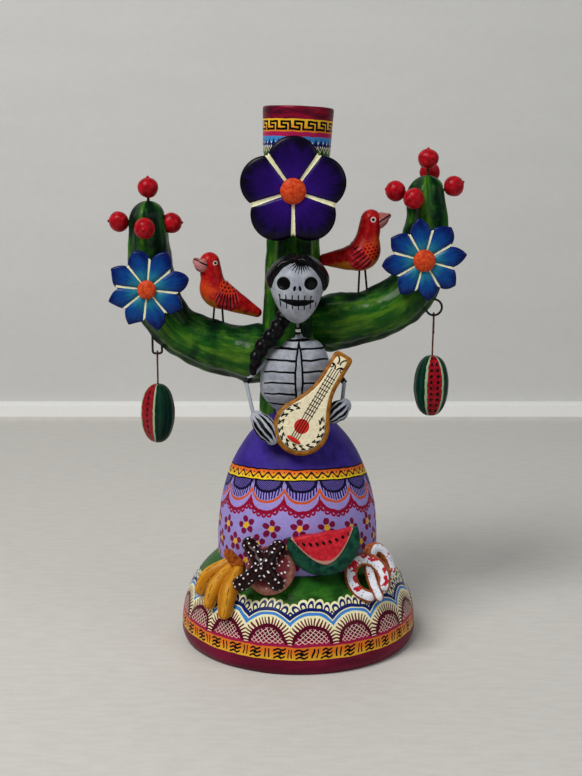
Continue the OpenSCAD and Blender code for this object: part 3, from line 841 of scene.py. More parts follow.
def slice_paint(turn):
    """The cut face of a slice: flesh, a row of seeds and the pale edge inside the rind."""
    p = Paint("melon_flesh")
    x, y, _ = in_frame(p, turn)
    flesh = p.patchy(srgb(184, 26, 42), srgb(214, 46, 58), 2.4, 3.0, 0.35, 0.68)
    f = abs(x) / SLICE_HALF
    # depth of flesh left below this point
    edge = (1 - f * f) * (SLICE_DEEP - RIND) + y
    p.colour = p.mix(rise(edge * -1 + p.noise(2.0) * 1.2, -2.0, -1.0), flesh, srgb(196, 150, 136))
    bow = y + 5.4 - x * x * 0.012
    seed = length_of(cell(x, 3.55) * 1.15, bow + sine(x * 1.7) * 0.4)
    p.over((seed < 1.05) * (abs(x) < 14.2), srgb(18, 12, 14))
    return p.finish(rough=0.42, coat=0.35, bumps=[(p.noise(0.7, 3.0), 0.35)])


def icing_paint(name):
    """Clay with an iced front: the icing lies on the side that "around" gives as the front."""
    p = Paint(name)
    around = p.attribute("around")
    clay = p.patchy(srgb(144, 74, 40), srgb(182, 104, 62), 2.0, 4.0, 0.4, 0.65)
    iced = abs(cell(around, 360, ICED_SIDE)) + unsteady(p, 3.0) * 14 < 37
    icing = p.mix(rise(p.noise(1.2), 0.4, 0.6), srgb(224, 228, 240), srgb(240, 242, 250))
    blob = p.noise(4.6, 1.0) + (p.noise(1.0, 3.0) - 0.5) * 0.22
    berry = p.patchy(srgb(172, 18, 40), srgb(214, 52, 66), 0.8, 2.0, 0.45, 0.6)
    icing = p.mix(blob > 0.6, icing, berry)
    where = p.vector(around * 0.062, p.attribute("along"), 0)
    icing = p.mix(p.dots(1.8, 0.3, where) * (p.noise(7.0, 1.0) < 0.49) * (blob < 0.52), icing,
                  srgb(96, 16, 34))
    p.colour = p.mix(iced, clay, icing)
    return p.finish(rough=0.4, coat=0.35, bumps=[(iced, 0.35), (p.noise(1.6, 3.0), 0.2)])


# ---------------------------------------------------------------- base, skirt and cup

def base_profile():
    """The dome outside, its foot, and the hollow inside it, as (radius, height)."""
    high = box("base_dome")[1]
    r, top, foot, power = high.x, high.z, 5.0, 2.2
    rise_full = 55.6

    def radius(z, inset=0.0):
        return r * (1 - (max(z - foot, 0) / rise_full) ** power) ** (1 / power) - inset

    wall = 6.0
    inside = [(0.0, top - wall)] + [(radius(z, wall), z) for z in (top - wall, 36, 30, 24, 18, 12, foot)]
    inside += [(r - 2.5 - wall, 0.6), (r - 2.2 - wall, 0.0)]
    foot_edge = [(r - 3.4, 0.0), (r - 2.3, 0.3), (r - 1.4, 1.2), (r - 0.5, 3.2), (r, foot)]
    heights = [foot + (top - 1.6 - foot) * i / 40 for i in range(1, 41)]
    side = [(radius(z), z) for z in heights]
    last = side[-1][0]
    crown = arc(last - 3.6, top - 2.6, 2.6, 35, 90, 5)
    cap = [(last * f, top - 0.05) for f in (0.8, 0.5, 0.2)] + [(0.0, top)]
    return inside + foot_edge + side + crown + cap


def hand_made(amount, size, seed):
    """A displacement outwards, of up to about "amount" millimetres, over patches of this size."""
    def wobble(p):
        flat = Vector((p.x, p.y, 0))
        return flat.normalized() * lump(p, size, seed) * amount if flat.length > 1 else Vector()
    return wobble


def build_base():
    lathe("moulded_base", "base_dome", painted_base(), base_profile(), 224,
          wobble=hand_made(0.5, 26, 1.0))


def build_skirt():
    low, high = box("skirt")
    r, hem, waist, wall = (high.x - low.x) / 2, low.z + 10, high.z + 1.1, 7.0
    middle = (low.x + high.x) / 2
    tall = waist - hem
    inside = [(0.0, waist - wall)] + [((r - wall) * sin(a), hem + (tall - wall) * cos(a))
                                      for a in spread(10, 91, 10)]
    inside += [(r - wall, low.z)]
    face = [(r - 1.0, low.z), (r - 0.3, low.z + 0.5), (r, low.z + 1.6), (r, low.z + 5)]
    face += [(r * cos(a), hem + tall * sin(a)) for a in spread(0, 78, 2)]
    face += [(r * 0.16, high.z - 0.3), (r * 0.06, high.z - 0.05), (0.0, high.z)]
    lathe("full_skirt", "skirt", painted_skirt(), inside + face, 192,
          turn=Matrix.Translation((middle, 0, 0)), wobble=hand_made(0.45, 22, 2.0))


def cup_turn():
    """The cup's own frame, from its box: it leans towards +X."""
    low, high = box("candle_cup")
    lean = radians(2.2)
    foot = Vector((low.x + 17 + 2.0, (low.y + high.y) / 2, low.z + 0.65))
    return Matrix.Translation(foot) @ Matrix.Rotation(lean, 4, "Y")


def build_cup():
    r, h = 20.0, 29.0
    outside = [(0.0, 0.0), (16.6, 0.0), (18.2, 1.2), (18.9, 4.0), (19.3, 10), (19.6, 18), (19.9, 25)]
    lip = arc(r - 1.2, h - 1.2, 1.2, 0, 90, 6) + arc(r - 2.6, h - 1.2, 1.2, 90, 170, 5)
    pan = [(15.2, h - 2.6), (14.2, h - 3.0), (12.4, h - 3.1), (11.4, h - 3.3), (11.1, h - 4),
           (11.0, h - 6)]
    bore = [(11.0, 12.0), (11.0, 3.4), (10.4, 3.0), (0.0, 3.0)]
    turn = cup_turn()
    uneven = kneaded(0.22, (11, 3.0), (11, 4.0), (13, 5.0))
    lathe("candle_cup_turned", "candle_cup", painted_cup(turn), outside + lip + pan + bore, 144, turn,
          lambda p: uneven(p) if p.z > 24 or p.x ** 2 + p.y ** 2 > 200 else Vector())


# ---------------------------------------------------------------- cactus

def about(node, stops):
    """Control points (point, radius) given as offsets from the middle of a node's box, in mm."""
    mid = at(node, 0.5, 0.5, 0.5)
    return [(mid + Vector((x, y, z)), r) for x, y, z, r in stops]


def crested(tip_from, seed):
    """Two pinched crest ridges, lumps all over, and ribs towards the tip."""
    def section(a, s, p):
        ridge = bell(wrapped(a), 0, 15) + bell(wrapped(a - 180), 0, 15)
        beside = bell(abs(wrapped(a)), 30, 13) + bell(abs(wrapped(a - 180)), 30, 13)
        wavy = 0.75 + 0.75 * lump(p, 7.5, seed)
        soft = max(0.0, min(1.0, (s - tip_from) / 0.15))
        rib = cos(radians(5 * a + 50 * lump(p, 17, seed + 4)))
        body = 0.945 + 0.035 * lump(p, 13, seed + 1) + 0.02 * lump(p, 5, seed + 2)
        crest = 0.105 * ridge * wavy - 0.05 * beside
        end = 1 - 0.25 * max(0.0, (s - 0.93) / 0.07)
        ribs = 0.07 * rib - 0.03 + 0.05 * lump(p, 8, seed + 5)
        return body + crest * (1 - 0.75 * soft) + ribs * soft * end
    return section


def build_cactus():
    def trunk_section(a, s, p):
        folds = 0.055 * cos(radians(6 * a + 20 * lump(p, 30, 5.0)))
        edge = 0.07 * bell(wrapped(a - 14), 0, 13) - 0.06 * bell(wrapped(a - 40), 0, 11)
        return 0.93 + folds + edge + 0.03 * lump(p, 12, 6.0) + 0.015 * lump(p, 5, 7.0)

    sweep("cactus_stem", "cactus_trunk", cactus("cactus_stem_paint", 6), about("cactus_trunk", [
        (0.8, 10.5, -118.4, 14), (0.3, 7.5, -83.4, 17), (-0.2, 1.5, -53.4, 18),
        (-0.7, -4.5, -23.4, 18.5),
        (-0.2, -7.5, 6.6, 18), (0.3, -7.5, 41.6, 16.5), (0.3, -7.5, 71.6, 15), (1.3, -7.5, 97.6, 16.2),
        (1.7, -7.5, 112.4, 17.2)]), trunk_section, steps=14, sides=96, domes=2)
    sweep("cactus_branch_left", "cactus_arm_left", cactus("cactus_left_paint", 2, 78),
          about("cactus_arm_left", [
        (42.9, 0, -35.3, 14), (30.9, 0, -35.3, 17), (15.9, 0, -33.3, 14.8), (0.4, 0, -28.7, 14.7),
        (-14.4, 0, -21.3, 13.4), (-25.3, 0, -7.0, 13.6), (-29.1, 0, 10.7, 13.5), (-30.1, 0, 24.7, 13),
        (-30.7, 0, 41.7, 11.3)]), crested(0.6, 1.5), steps=16, sides=112, domes=10)
    sweep("cactus_branch_right", "cactus_arm_right", cactus("cactus_right_paint", 2, 82),
          about("cactus_arm_right", [
              (-38.8, 0, -33.5, 13.5), (-26.8, 0, -33.5, 16.5), (-13.8, 0, -31.5, 14.8),
              (-0.8, 0, -28, 15),
              (12.2, 0, -21, 14.6), (20.2, 0, -11.5, 14.3), (24.2, 0, 3.5, 13.7), (26.9, 0, 21.5, 13.1),
              (26.2, 0, 39, 11.2)]), crested(0.6, 3.5), steps=16, sides=112, domes=10)


# ---------------------------------------------------------------- flowers

def blossom(name, node, paint, centre, outline, thick, pillow, petals, first, boss=8.0):
    """A flower in the X-Z plane facing -Y. outline(angle) is its reach, and the pillow is how
    much the petals swell."""
    sides, circles = 240, 18
    back = centre.y

    def row(f, y_of):
        points = []
        for j in range(sides):
            a = 360.0 * j / sides
            r = outline(a) * f
            points.append((centre.x + r * cos(radians(a)), y_of(a, f, r),
                           centre.z + r * sin(radians(a))))
        return points

    def front_y(a, f, r):
        off = abs(wrapped((a - first) * petals) / petals)              # 0 in a petal's middle
        across = r * sin(radians(180 / petals - off))       # distance from the valley
        swell = pillow * (1 - exp(-(across / 1.6) ** 2)) * max(0.0, 1 - f ** 5)
        dish = -0.5 * pillow * (1 - f) ** 2
        lumps = 0.25 * lump((r * cos(a / 57.3), r * sin(a / 57.3), thick), 7, petals)
        return back - thick + 0.9 - swell - dish + lumps * (1 - f)

    rows = [row(i / circles, front_y) for i in range(1, circles)]
    rim = [row(f, lambda a, g, r, y=y: back - thick * 0.5 - y * thick * 0.5) for f, y in
           ((0.975, 0.62), (1.0, 0.25), (1.0, -0.3), (0.965, -0.8), (0.9, -1.0))]
    rear = [row(f, lambda a, g, r: back) for f in (0.6, 0.3)]
    rear += [row(boss / outline(0), lambda a, g, r: back),
             row(boss * 0.9 / outline(0), lambda a, g, r: back + 5.5)]
    verts, faces = skin(rows + rim + rear)
    return piece(name, verts, faces, node, paint)


def build_flowers():
    mid = at("purple_flower_button", 0.5, 1.0, 0.5)
    reach, petal_r = 30.0, 14.5

    def round_lobes(a):
        off = radians(abs(wrapped((a - 90) * 5) / 5))
        far = reach - petal_r
        return far * cos(off) + sqrt(max(petal_r ** 2 - (far * sin(off)) ** 2, 0.4))

    centre = Vector((mid.x, mid.y + 4.6, mid.z))
    paint = petals_paint("purple_petals", centre, 5, 90, reach, 25.5,
                         (srgb(44, 14, 108), srgb(32, 9, 84), srgb(10, 4, 24)), 2.0)
    blossom("purple_blossom", "purple_flower_petals", paint, centre, round_lobes, 5.0, 1.6, 5, 90)
    for side, first in (("left", 16), ("right", 8)):
        node = "blue_flower_%s_petals" % side
        mid = at("blue_flower_%s_button" % side, 0.5, 1.0, 0.5)
        centre = Vector((mid.x, mid.y + 4.0, mid.z))

        def pointed_lobes(a, first=first):             # broad, with a short point
            round_about = (40 * cos(radians(a)), 40 * sin(radians(a)), first)
            bent = a + 7.0 * lump(round_about, 16.0, 9.0)
            off = abs(wrapped((bent - first) * 8) / 8) / 22.5       # 0 at a point, 1 in a valley
            return 16.9 + (6.8 + 2.4 * lump(round_about, 22.0, 4.0)) * (1 - off) ** 0.8 - 0.8 * off ** 6

        paint = petals_paint("blue_petals_" + side, centre, 8, first, 23.0, 17.5,
                             (srgb(34, 118, 142), srgb(14, 64, 132), srgb(7, 20, 84)), 1.05)
        blossom("blue_blossom_" + side, node, paint, centre, pointed_lobes, 4.2, 1.3, 8, first, boss=6.0)
    orange = plain_paint("orange_buttons", srgb(184, 54, 24), srgb(216, 82, 40), 1.8, 0.42, 0.25)
    for node, r in (("purple_flower_button", 7.2), ("blue_flower_left_button", 5.3),
                    ("blue_flower_right_button", 6.2)):
        low, high = box(node)
        deep = high.y - low.y
        turn = Matrix.Translation(at(node, 0.5, 1.0, 0.5)) @ Matrix.Rotation(radians(90), 4, "X")
        profile = [(0.0, -1.0), (r * 0.9, -1.0), (r, 0.2)]
        profile += [(r * cos(a), 0.2 + (deep - 0.2) * sin(a)) for a in
                    spread(8, 90, 8)] + [(0.0, deep)]
        lathe(node + "_dome", node, orange, profile, 64, turn,
              kneaded(0.16, (3.4, 8.0), (3.4, 9.0), (3, 10.0)))


# ---------------------------------------------------------------- fruits

def build_fruits():
    red = plain_paint("red_fruit", srgb(138, 8, 20), srgb(184, 18, 32), 2.6, 0.34, 0.5, 0.3)
    stem = plain_paint("stems", srgb(92, 22, 26), srgb(38, 60, 34), 2.0, 0.5, 0.2)
    for tip_node, first, last in (("cactus_arm_left", 1, 4), ("cactus_arm_right", 5, 9)):
        fx = 0.145 if first == 1 else 0.83
        tip = at(tip_node, fx, 0.5, 0.88)
        for i in range(first, last + 1):
            node = "fruit_%d" % i
            mid = at(node, 0.5, 0.5, 0.5)
            r = (box(node)[1].x - box(node)[0].x) / 2
            way = (mid - tip).normalized()
            turn = Matrix.Translation(mid) @ facing(way)
            profile = [(r * sin(a), -r * 0.97 * cos(a)) for a in
                       spread(0, 165, 6)]
            profile += [(r * 0.2, r * 0.955), (r * 0.13, r * 1.02), (r * 0.07, r * 1.1), (0.0, r * 1.13)]
            lathe("berry_%d" % i, node, red, profile, 48, turn,
                  lambda p, i=i: p.normalized() * lump(p, 5.0, i) * 0.3)
    for node in ("fruit_stems_left", "fruit_stems_right"):
        paint_cad(node, stem)


# ---------------------------------------------------------------- birds

def build_birds():
    def plump(a, s, p):
        tail = max(0.0, (s - 0.62) / 0.38)
        neck, belly = bell(s, 0.2, 0.07), bell(s, 0.42, 0.14)
        return 0.97 + 0.02 * lump(p, 6, 4.0) - 0.06 * neck + 0.04 * belly * (1 - tail)

    stops = {"left": [(-11.3, -0.5, 12.9, 6.0), (-10.3, -0.5, 5.3, 6.9), (-8.1, 0, -3.2, 8.9),
                      (0.7, 0.5, -8.5, 7.0),
                      (8.7, 1.0, -12.5, 4.9), (15.3, 1.5, -15.8, 3.0)],
             "right": [(11.7, -0.5, 11.3, 6.1), (10.3, -0.5, 3.2, 7.1), (7.6, 0, -7.4, 9.2),
                       (-0.5, 0.5, -10.2, 7.2),
                       (-7.5, 1.0, -10.8, 5.4), (-14.2, 1.5, -11.2, 3.6)]}
    wings = {"left": ((-7.85, 12.95), 1.3, (0.55, 7.65), 12.4, 6.5, -6.5, -0.5),
             "right": ((12.7, 11.7), 1.6, (52.1, 29.6), 57.0, 2.17, -51.0, 4.9)}
    beaks = {"left": ([(3.6, -2.6, -1.2, 4.0), (1.0, -4.2, -1.0, 4.1), (-1.5, -4.4, 1.0, 2.1)], -0.49,
                      1.1),
             "right": ([(-3.0, 0, -1.7, 4.7), (0.0, 0, -0.2, 3.6), (2.3, -0.2, 1.0, 1.6)], 0.63, -0.5)}
    for side in ("left", "right"):
        node = "bird_%s_body" % side
        paint = bird_paint("bird_%s_paint" % side, node, *wings[side])
        sweep("bird_" + side, node, paint, about(node, stops[side]), plump, flat=0.96, steps=12,
              sides=56, domes=8)
        node = "bird_%s_beak" % side
        ends, slope, lift = beaks[side]
        sweep("beak_" + side, node, beak_paint("beak_%s_paint" % side, node, slope, lift),
              about(node, ends),
              flat=0.8, steps=8, sides=32, domes=5)
        legs = "bird_%s_legs" % side
        feet = (0, box(legs)[0].z + 4, srgb(16, 44, 20))
        paint_cad(legs, banded_paint(legs + "_paint", srgb(32, 16, 16), [feet]))


# ---------------------------------------------------------------- hanging melons and their wires

def build_melons():
    iron = plain_paint("iron", srgb(26, 34, 32), srgb(58, 62, 58), 1.4, 0.5, 0.15, 0.2)
    rust = plain_paint("rusty_wire", srgb(58, 26, 22), srgb(120, 62, 50), 1.6, 0.55, 0.1, 0.25)
    paint_cad("left_staple", iron)
    paint_cad("right_ring_eye", iron)
    for side, face, half, row, r in (("left", 138, 40, 2, 10.0), ("right", 84, 30, 13, 10.3)):
        node = side + "_melon"
        paint_cad(side + "_pendant_wire", rust)
        lean = 0.5 if side == "left" else 0.3
        stops = []
        for k in range(17):
            a = radians(4 + 172 * k / 16)
            s = 0.5 - 0.46 * cos(a)
            middle = at(node, 0.5, 0.5, 1 - s) + Vector((lean * (1 - 2 * s), 0, 0))
            stops.append((middle, r * sin(a) ** 0.8))

        def cut(a, s, p, face=face, half=half):
            off = abs(wrapped(a - face))
            rib = 0.012 * cos(radians(12 * a)) + 0.02 * lump(p, 6, face)
            if off < half:
                return cos(radians(half)) / cos(radians(off)) - 0.02 + rib * 0.5
            return 1.0 - 0.02 + rib

        sweep("melon_" + side, node, melon_paint("melon_%s_paint" % side, face, half - 4, row), stops,
              cut,
              steps=3, sides=96, domes=0)


# ---------------------------------------------------------------- the lady

def build_skull():
    low, high = box("skull")
    mid = (low + high) / 2
    centre = Vector((mid.x, mid.y, high.z - HEAD_R))
    rows = []
    for i in range(1, 72):
        polar = pi * i / 72
        row = []
        for j in range(128):
            a = TURN * j / 128
            d = Vector((sin(polar) * cos(a), sin(polar) * sin(a), cos(polar)))
            down = max(0.0, -d.z)
            blunt = sqrt(1 + down * down)                   # a broad, round chin
            p = Vector((d.x * HEAD_R * (1 - 0.46 * down ** 1.1) * blunt,
                        d.y * 14.6 * (1 - 0.38 * down ** 1.4) * blunt,
                        d.z * (HEAD_R if d.z > 0 else CHIN)))
            p.x *= 1 + 0.02 * bell(d.z, 0.0, 0.4)
            if d.y < 0:
                p.y -= 3.2 * down ** 1.2 * max(0.0, -d.y) + 0.8 * down * 2
            # sunk eyes, a raised nose and a sunk line of lips
            q = centre + p
            if d.y < 0:
                ex, ez = abs(q.x - mid.x) - EYE_X, q.z - (mid.z + EYE_Z)
                hollow = exp(-((ex * ex + ez * ez) / 10.0) ** 2)
                p.y += 1.5 * hollow
                nose = exp(-(((q.x - mid.x) / 2.0) ** 2 + ((q.z - (mid.z + 5.4)) / 2.6) ** 2))
                p.y -= 0.5 * nose
                lips = exp(-(((q.x - mid.x) / 8.6) ** 4 + ((q.z - (mid.z + MOUTH_Z)) / 1.5) ** 2))
                p.y += 0.5 * lips
            p += d * 0.22 * lump(q, 8.0, 12.0)
            row.append(centre + p)
        rows.append(row)
    rows.reverse()
    verts, faces = skin(rows)
    piece("skull_head", verts, faces, "skull", skull_paint())


def hairline(azimuth):
    """How far down from the top the hair starts, in degrees, by azimuth from the front."""
    stops = ((0, 24), (20, 31), (42, 46), (55, 68), (66, 96), (90, 104), (130, 108), (180, 112))
    for (a0, p0), (a1, p1) in zip(stops, stops[1:]):
        if azimuth <= a1:
            t = (azimuth - a0) / (a1 - a0)
            t = t * t * (3 - 2 * t) * 0.4 + t * 0.6
            return p0 + (p1 - p0) * t
    return stops[-1][1]


def build_hair():
    low, high = box("skull")
    mid = (low + high) / 2
    centre = Vector((mid.x, mid.y + 0.3, high.z - HEAD_R))
    rows = []
    steps, sides = 44, 180
    for i in range(1, steps + 8):
        row = []
        for j in range(sides):
            azimuth = wrapped(360.0 * j / sides)
            limit = hairline(abs(azimuth))
            f = min(i / steps, 1.0)
            polar = radians(limit * f)
            a = radians(azimuth)
            d = Vector((sin(polar) * sin(a), -sin(polar) * cos(a), cos(polar)))
            part = exp(-((d.x * 15 - 1.0) / 1.1) ** 2) * (1 if d.y < 0.55 else 0)
            tight = max(0.0, 0.3 - d.z) * (0.24 if d.x < 0 else 0.12)
            fall = sin(radians(180 * f) * 0.62) * (1 - 0.75 * f ** 3)
            lobe = 1.15 + (0.5 if d.x < 0 else 0.65) * bell(abs(azimuth), 70, 36) * fall
            comb = 0.20 * sin(radians(abs(azimuth) * 9 + 60 * lump(d * 15, 9, 3.0)))
            thick = (1.9 * lobe + comb * sin(pi * f) - 1.3 * part) * (1 - f ** 14)
            thick += 0.15 * lump(d * 15, 5, 6.0)
            if i > steps:
                thick = -0.5 * (i - steps)
            row.append(centre + Vector((d.x * (15.35 + thick) * (1 - tight), d.y * (15.0 + thick),
                                        d.z * (15.0 + thick * 0.85 + 0.8 * max(0.0, d.z) ** 3))))
        rows.append(row)
    verts, faces = skin(rows, True, (True, False))
    piece("combed_hair", verts, faces, "hair_cap", hair_paint("black_hair"))


def build_lady():
    chest = at("torso", 0.5, 0.5, 0.5).z

    def ribs(a, s, p):
        front = max(0.0, sin(radians(a)))
        z = p.z - chest
        swell = 0.012 * cos(TURN * z / 6.2) * front
        return 0.985 + swell + 0.02 * lump(p, 11, 2.0)

    sweep("rib_cage", "torso", torso_paint(), about("torso", [
        (0.4, 1.5, -20.9, 12), (0.0, 0.5, -12.9, 19), (-0.1, 0.0, -4.9, 20.4), (1.1, 0.0, 5.1, 19.2),
        (2.0, 0.5, 13.2, 14.6), (1.7, 0.5, 17.6, 8.2),
        (1.6, 0.5, 19.9, 2.2)]), ribs, flat=0.6, steps=14, sides=96,
        domes=4)
    build_skull()
    build_hair()

    def plait(a, s, p):
        turn = 5.5 * s * 180
        return 0.80 + 0.34 * abs(sin(radians(turn + a / 2))) ** 0.8 + 0.03 * lump(p, 2.5, 1.0)

    sweep("plaited_braid", "braid", hair_paint("braid_hair"), about("braid", [
        (8.1, 3.7, 14.8, 3.8), (3.1, -1.3, 6.3, 4.3), (-4.2, -3.3, -2.2, 4.0), (-7.7, -3.3, -9.4, 3.4),
        (-9.5, -3.3, -16.2, 2.0)]), plait, steps=20, sides=64, domes=6)

    def mitt(a, s, p):
        ridges = cos(radians(a * 11)) * sin(pi * min(max(s, 0), 1))
        return 0.97 + 0.03 * ridges + 0.02 * lump(p, 4, 3.0)

    hands = {"left": [(-3.6, 2.4, 5.2, 4.2), (-1.6, 1.0, 2.9, 5.6), (0.8, -0.6, 0.2, 6.1),
                      (2.8, -2.0, -2.4, 5.7),
                      (4.2, -3.0, -4.3, 4.4)],
             "right": [(3.2, 1.6, 2.4, 4.3), (1.4, 0.4, 1.0, 5.7), (-0.7, -0.9, -0.5, 5.9),
                       (-2.6, -1.9, -2.1, 4.9)]}
    pale = srgb(152, 157, 166)
    for side, inward in (("left", 1), ("right", -1)):
        outer, inner = (0, 1) if side == "left" else (1, 0)
        node, upper, forearm = "hand_" + side, "upper_arm_" + side, "forearm_" + side
        sweep("mitten_" + side, node, hand_paint(node + "_paint", 90), about(node, hands[side]), mitt,
              flat=0.62, steps=8, sides=64, domes=8)
        paint_cad(upper, banded_paint(upper + "_paint", pale, [(0, box(upper)[0].z + 4.4, BLACK)]))
        elbow = at(upper, outer, 0, 0) + Vector((1.6 * inward, 1.6, 2.2))
        wrist = at(forearm, inner, 0, 0) + Vector((-1.1 * inward, 1.1, 1.1))
        sweep("wire_" + forearm, forearm, banded_paint(forearm + "_paint", pale),
              [(elbow, 1.15), (elbow.lerp(wrist, 0.5), 1.05), (wrist, 1.1)], steps=6, sides=24, domes=3)
    low, high = box("neck_beads")
    paint_cad("neck_wire", banded_paint("neck_wire_paint", srgb(120, 122, 126)))
    third = (high.z - low.z) / 3
    white_band = (low.z + third, low.z + 2 * third, WHITE)
    paint_cad("neck_beads", banded_paint("bead_paint", BLACK, [white_band]))


# ---------------------------------------------------------------- mandolin

def mandolin_turn():
    """The mandolin's own frame: +Y up the neck and +Z out of its face."""
    origin = at("mandolin_body", 0.5, 0.5, 0.5) + Vector((-6.7, -3.8, -13.1))
    tip = Matrix.Rotation(radians(90 - 16), 4, "X")
    return Matrix.Translation(origin) @ tip @ Matrix.Rotation(radians(-31), 4, "Z")


def mandolin_edge(inset):
    """The outline, anticlockwise from the foot of the body, "inset" inside the edge."""
    r, half, end, corner = 15.4 - inset, 5.6 - inset, 46.5 - inset, 2.6
    right = [(r * sin(radians(d)), -r * cos(radians(d))) for d in range(0, 121, 5)]
    x0, y0 = right[-1]
    for k in range(1, 17):                         # the shoulder, a smooth curve into the neck
        t = k / 16
        ax, ay = x0 - 7.4 * t, y0 + 12.8 * t
        bx, by = half, 30 - 12 * (1 - t)
        s = t * t * (3 - 2 * t)
        right.append((ax * (1 - s) + bx * s, ay * (1 - s) + by * s))
    right += [(half, 30 + (end - corner - 30) * k / 5) for k in range(1, 6)]
    right += [(half - corner + corner * sin(a), end - corner + corner * cos(a))
              for a in (radians(90 - 15 * k) for k in range(1, 7))]
    left = [(-x, y) for x, y in reversed(right[1:])]
    return right + left


def plate(name, node, paint, turn, edge, layers, crown=0.0, middle=(0.0, 8.0)):
    """A flat form with a rounded edge: layers [(inset, height)] from the back to the front."""
    rows = [[turn @ Vector((x, y, h)) for x, y in edge(inset)] for inset, h in layers]
    inner = edge(layers[-1][0])
    for f in (0.8, 0.55, 0.3):
        rows.append([turn @ Vector((middle[0] + (x - middle[0]) * f, middle[1] + (y - middle[1]) * f,
                                    layers[-1][1] + crown * (1 - f * f))) for x, y in inner])
    return piece(name, *skin(rows), node, paint)


def build_mandolin():
    turn = mandolin_turn()
    wood = plain_paint("instrument_wood", srgb(126, 76, 22), srgb(166, 108, 34), 3.0, 0.38, 0.4)
    plate("mandolin_wood", "mandolin_body", wood, turn, mandolin_edge,
          [(1.6, -2.6), (0.5, -2.3), (0.05, -1.5), (0.0, 0.0), (0.05, 1.5), (0.45, 2.35), (1.2, 2.7),
           (2.0, 2.75)])
    plate("mandolin_painted_face", "mandolin_face", instrument_face(turn), turn, mandolin_edge,
          [(2.2, 2.3), (2.15, 2.75), (2.4, 2.98), (3.0, 3.05)])

    def oval(inset):
        return [((4.1 - inset) * cos(a), -8 + (1.25 - inset * 0.8) * sin(a))
                for a in (TURN * k / 40 for k in range(40))]

    plate("mandolin_bridge_oval", "mandolin_bridge",
          plain_paint("bridge_red", srgb(180, 34, 24), srgb(214, 54, 36)),
          turn, oval, [(0.0, 2.9), (0.0, 3.7), (0.3, 4.05), (0.8, 4.15)], middle=(0.0, -8.0))


# ---------------------------------------------------------------- offerings

def build_bananas():
    stops = {1: [(7.9, 0.1, 8.0, 3.0), (-2.7, 0.0, 0.2, 4.9), (-8.2, 0.3, -7.8, 3.6)],
             2: [(6.6, 4.4, 9.8, 3.0), (-2.5, -1.4, 0.0, 4.9), (-6.7, -4.0, -9.6, 3.6)],
             3: [(4.2, 7.5, 10.8, 3.0), (-1.4, -2.8, -0.1, 4.9), (-3.7, -7.4, -10.6, 3.6)]}
    for i in stops:
        def ridged(a, s, p, i=i):
            return 0.97 + 0.05 * abs(cos(radians(2 * a + 20))) + 0.035 * lump(p, 7, i)
        sweep("banana_finger_%d" % i, "banana_%d" % i, banana_paint("banana_paint_%d" % i),
              about("banana_%d" % i, stops[i]), ridged, side=(0, 0, 1), steps=18, sides=64, domes=8)

    def knobbly(a, s, p):
        return 0.98 + 0.10 * lump(p, 3.2, 5.0) - 0.08 * bell(s, 0.35, 0.12)

    sweep("banana_stalk_clay", "banana_stalk",
          plain_paint("stalk_paint", srgb(136, 62, 16), srgb(192, 104, 36), 2.0, 0.4, 0.3, 0.5),
          about("banana_stalk", [(2.8, -0.2, -3.2, 3.4), (0, 0, 0, 3.3), (-2.6, 0.2, 3.2, 2.9)]),
          knobbly,
          steps=10, sides=48, domes=8)


BUN_FACES = Vector((-0.24, -0.78, 0.57))


def bread_turn():
    """The bun's own frame, +Z out of its round face."""
    foot = at("bread_bun", 0.5, 0.5, 0.5) + Vector((0.0, 1.7, -0.2))
    return Matrix.Translation(foot) @ facing(BUN_FACES)


def build_bread():
    turn = bread_turn()
    r = 14.0
    profile = [(0.0, 0.2), (r * 0.85, 0.2), (r * 0.96, 0.8)]
    profile += [(r * cos(a) ** 0.72, 1.2 + 8.7 * sin(a)) for a in spread(4, 86, 5)]
    profile += [(0.0, 9.9)]
    lathe("sweet_bun", "bread_bun", bun_paint(turn), profile, 96, turn,
          kneaded(0.35, (9, 1.0), (9, 2.0), (7, 3.0)))
    paint = dotted_paint("bread_bones_paint", srgb(20, 7, 9), srgb(48, 19, 20), 3.4, 0.52)
    heart, lift = Vector((2.4, -3.8, -0.4)), BUN_FACES * 1.1

    def dough(a, s, p):
        return 0.97 + 0.09 * lump(p, 3.0, 4.0)

    for i, end in enumerate(((-5.4, 6.2, 9.6), (10.0, 3.8, 8.8), (-10.0, -2.8, -9.6),
                             (9.4, -6.2, -8.0))):
        end = Vector(end)
        stops = [heart, heart.lerp(end, 0.35) + lift, heart.lerp(end, 0.72) + lift * 0.6, end]
        sweep("bread_bone_%d" % (i + 1), "bread_bones", paint,
              about("bread_bones", [(*p, rad) for p, rad in zip(stops, (5.4, 4.3, 4.2, 4.3))]), dough,
              steps=8, sides=40, domes=7)


def slice_turn():
    """The melon slice's own frame: +X along its cut edge, +Y up and +Z out of its face."""
    origin = at("melon_slice_rind", 0.5, 0.5, 0.5) + Vector((-0.6, 4.4, 9.6))
    lean = Matrix.Rotation(radians(-10), 4, "Y") @ Matrix.Rotation(radians(-7), 4, "X")
    return Matrix.Translation(origin) @ lean @ Matrix.Rotation(radians(90), 4, "X")


def slice_edge(inset):
    """The flesh: cut side up, its round side drawn in to a blunt point."""
    half, deep = SLICE_HALF - inset, SLICE_DEEP - RIND - inset
    round_side = [(half * f, -deep * (1 - abs(f) ** 1.8)) for f in (k / 30 for k in range(-30, 31))]
    return round_side + [(half * f, 0.25 * sin(9.0 * f)) for f in (1 - k / 12 for k in range(1, 24))]


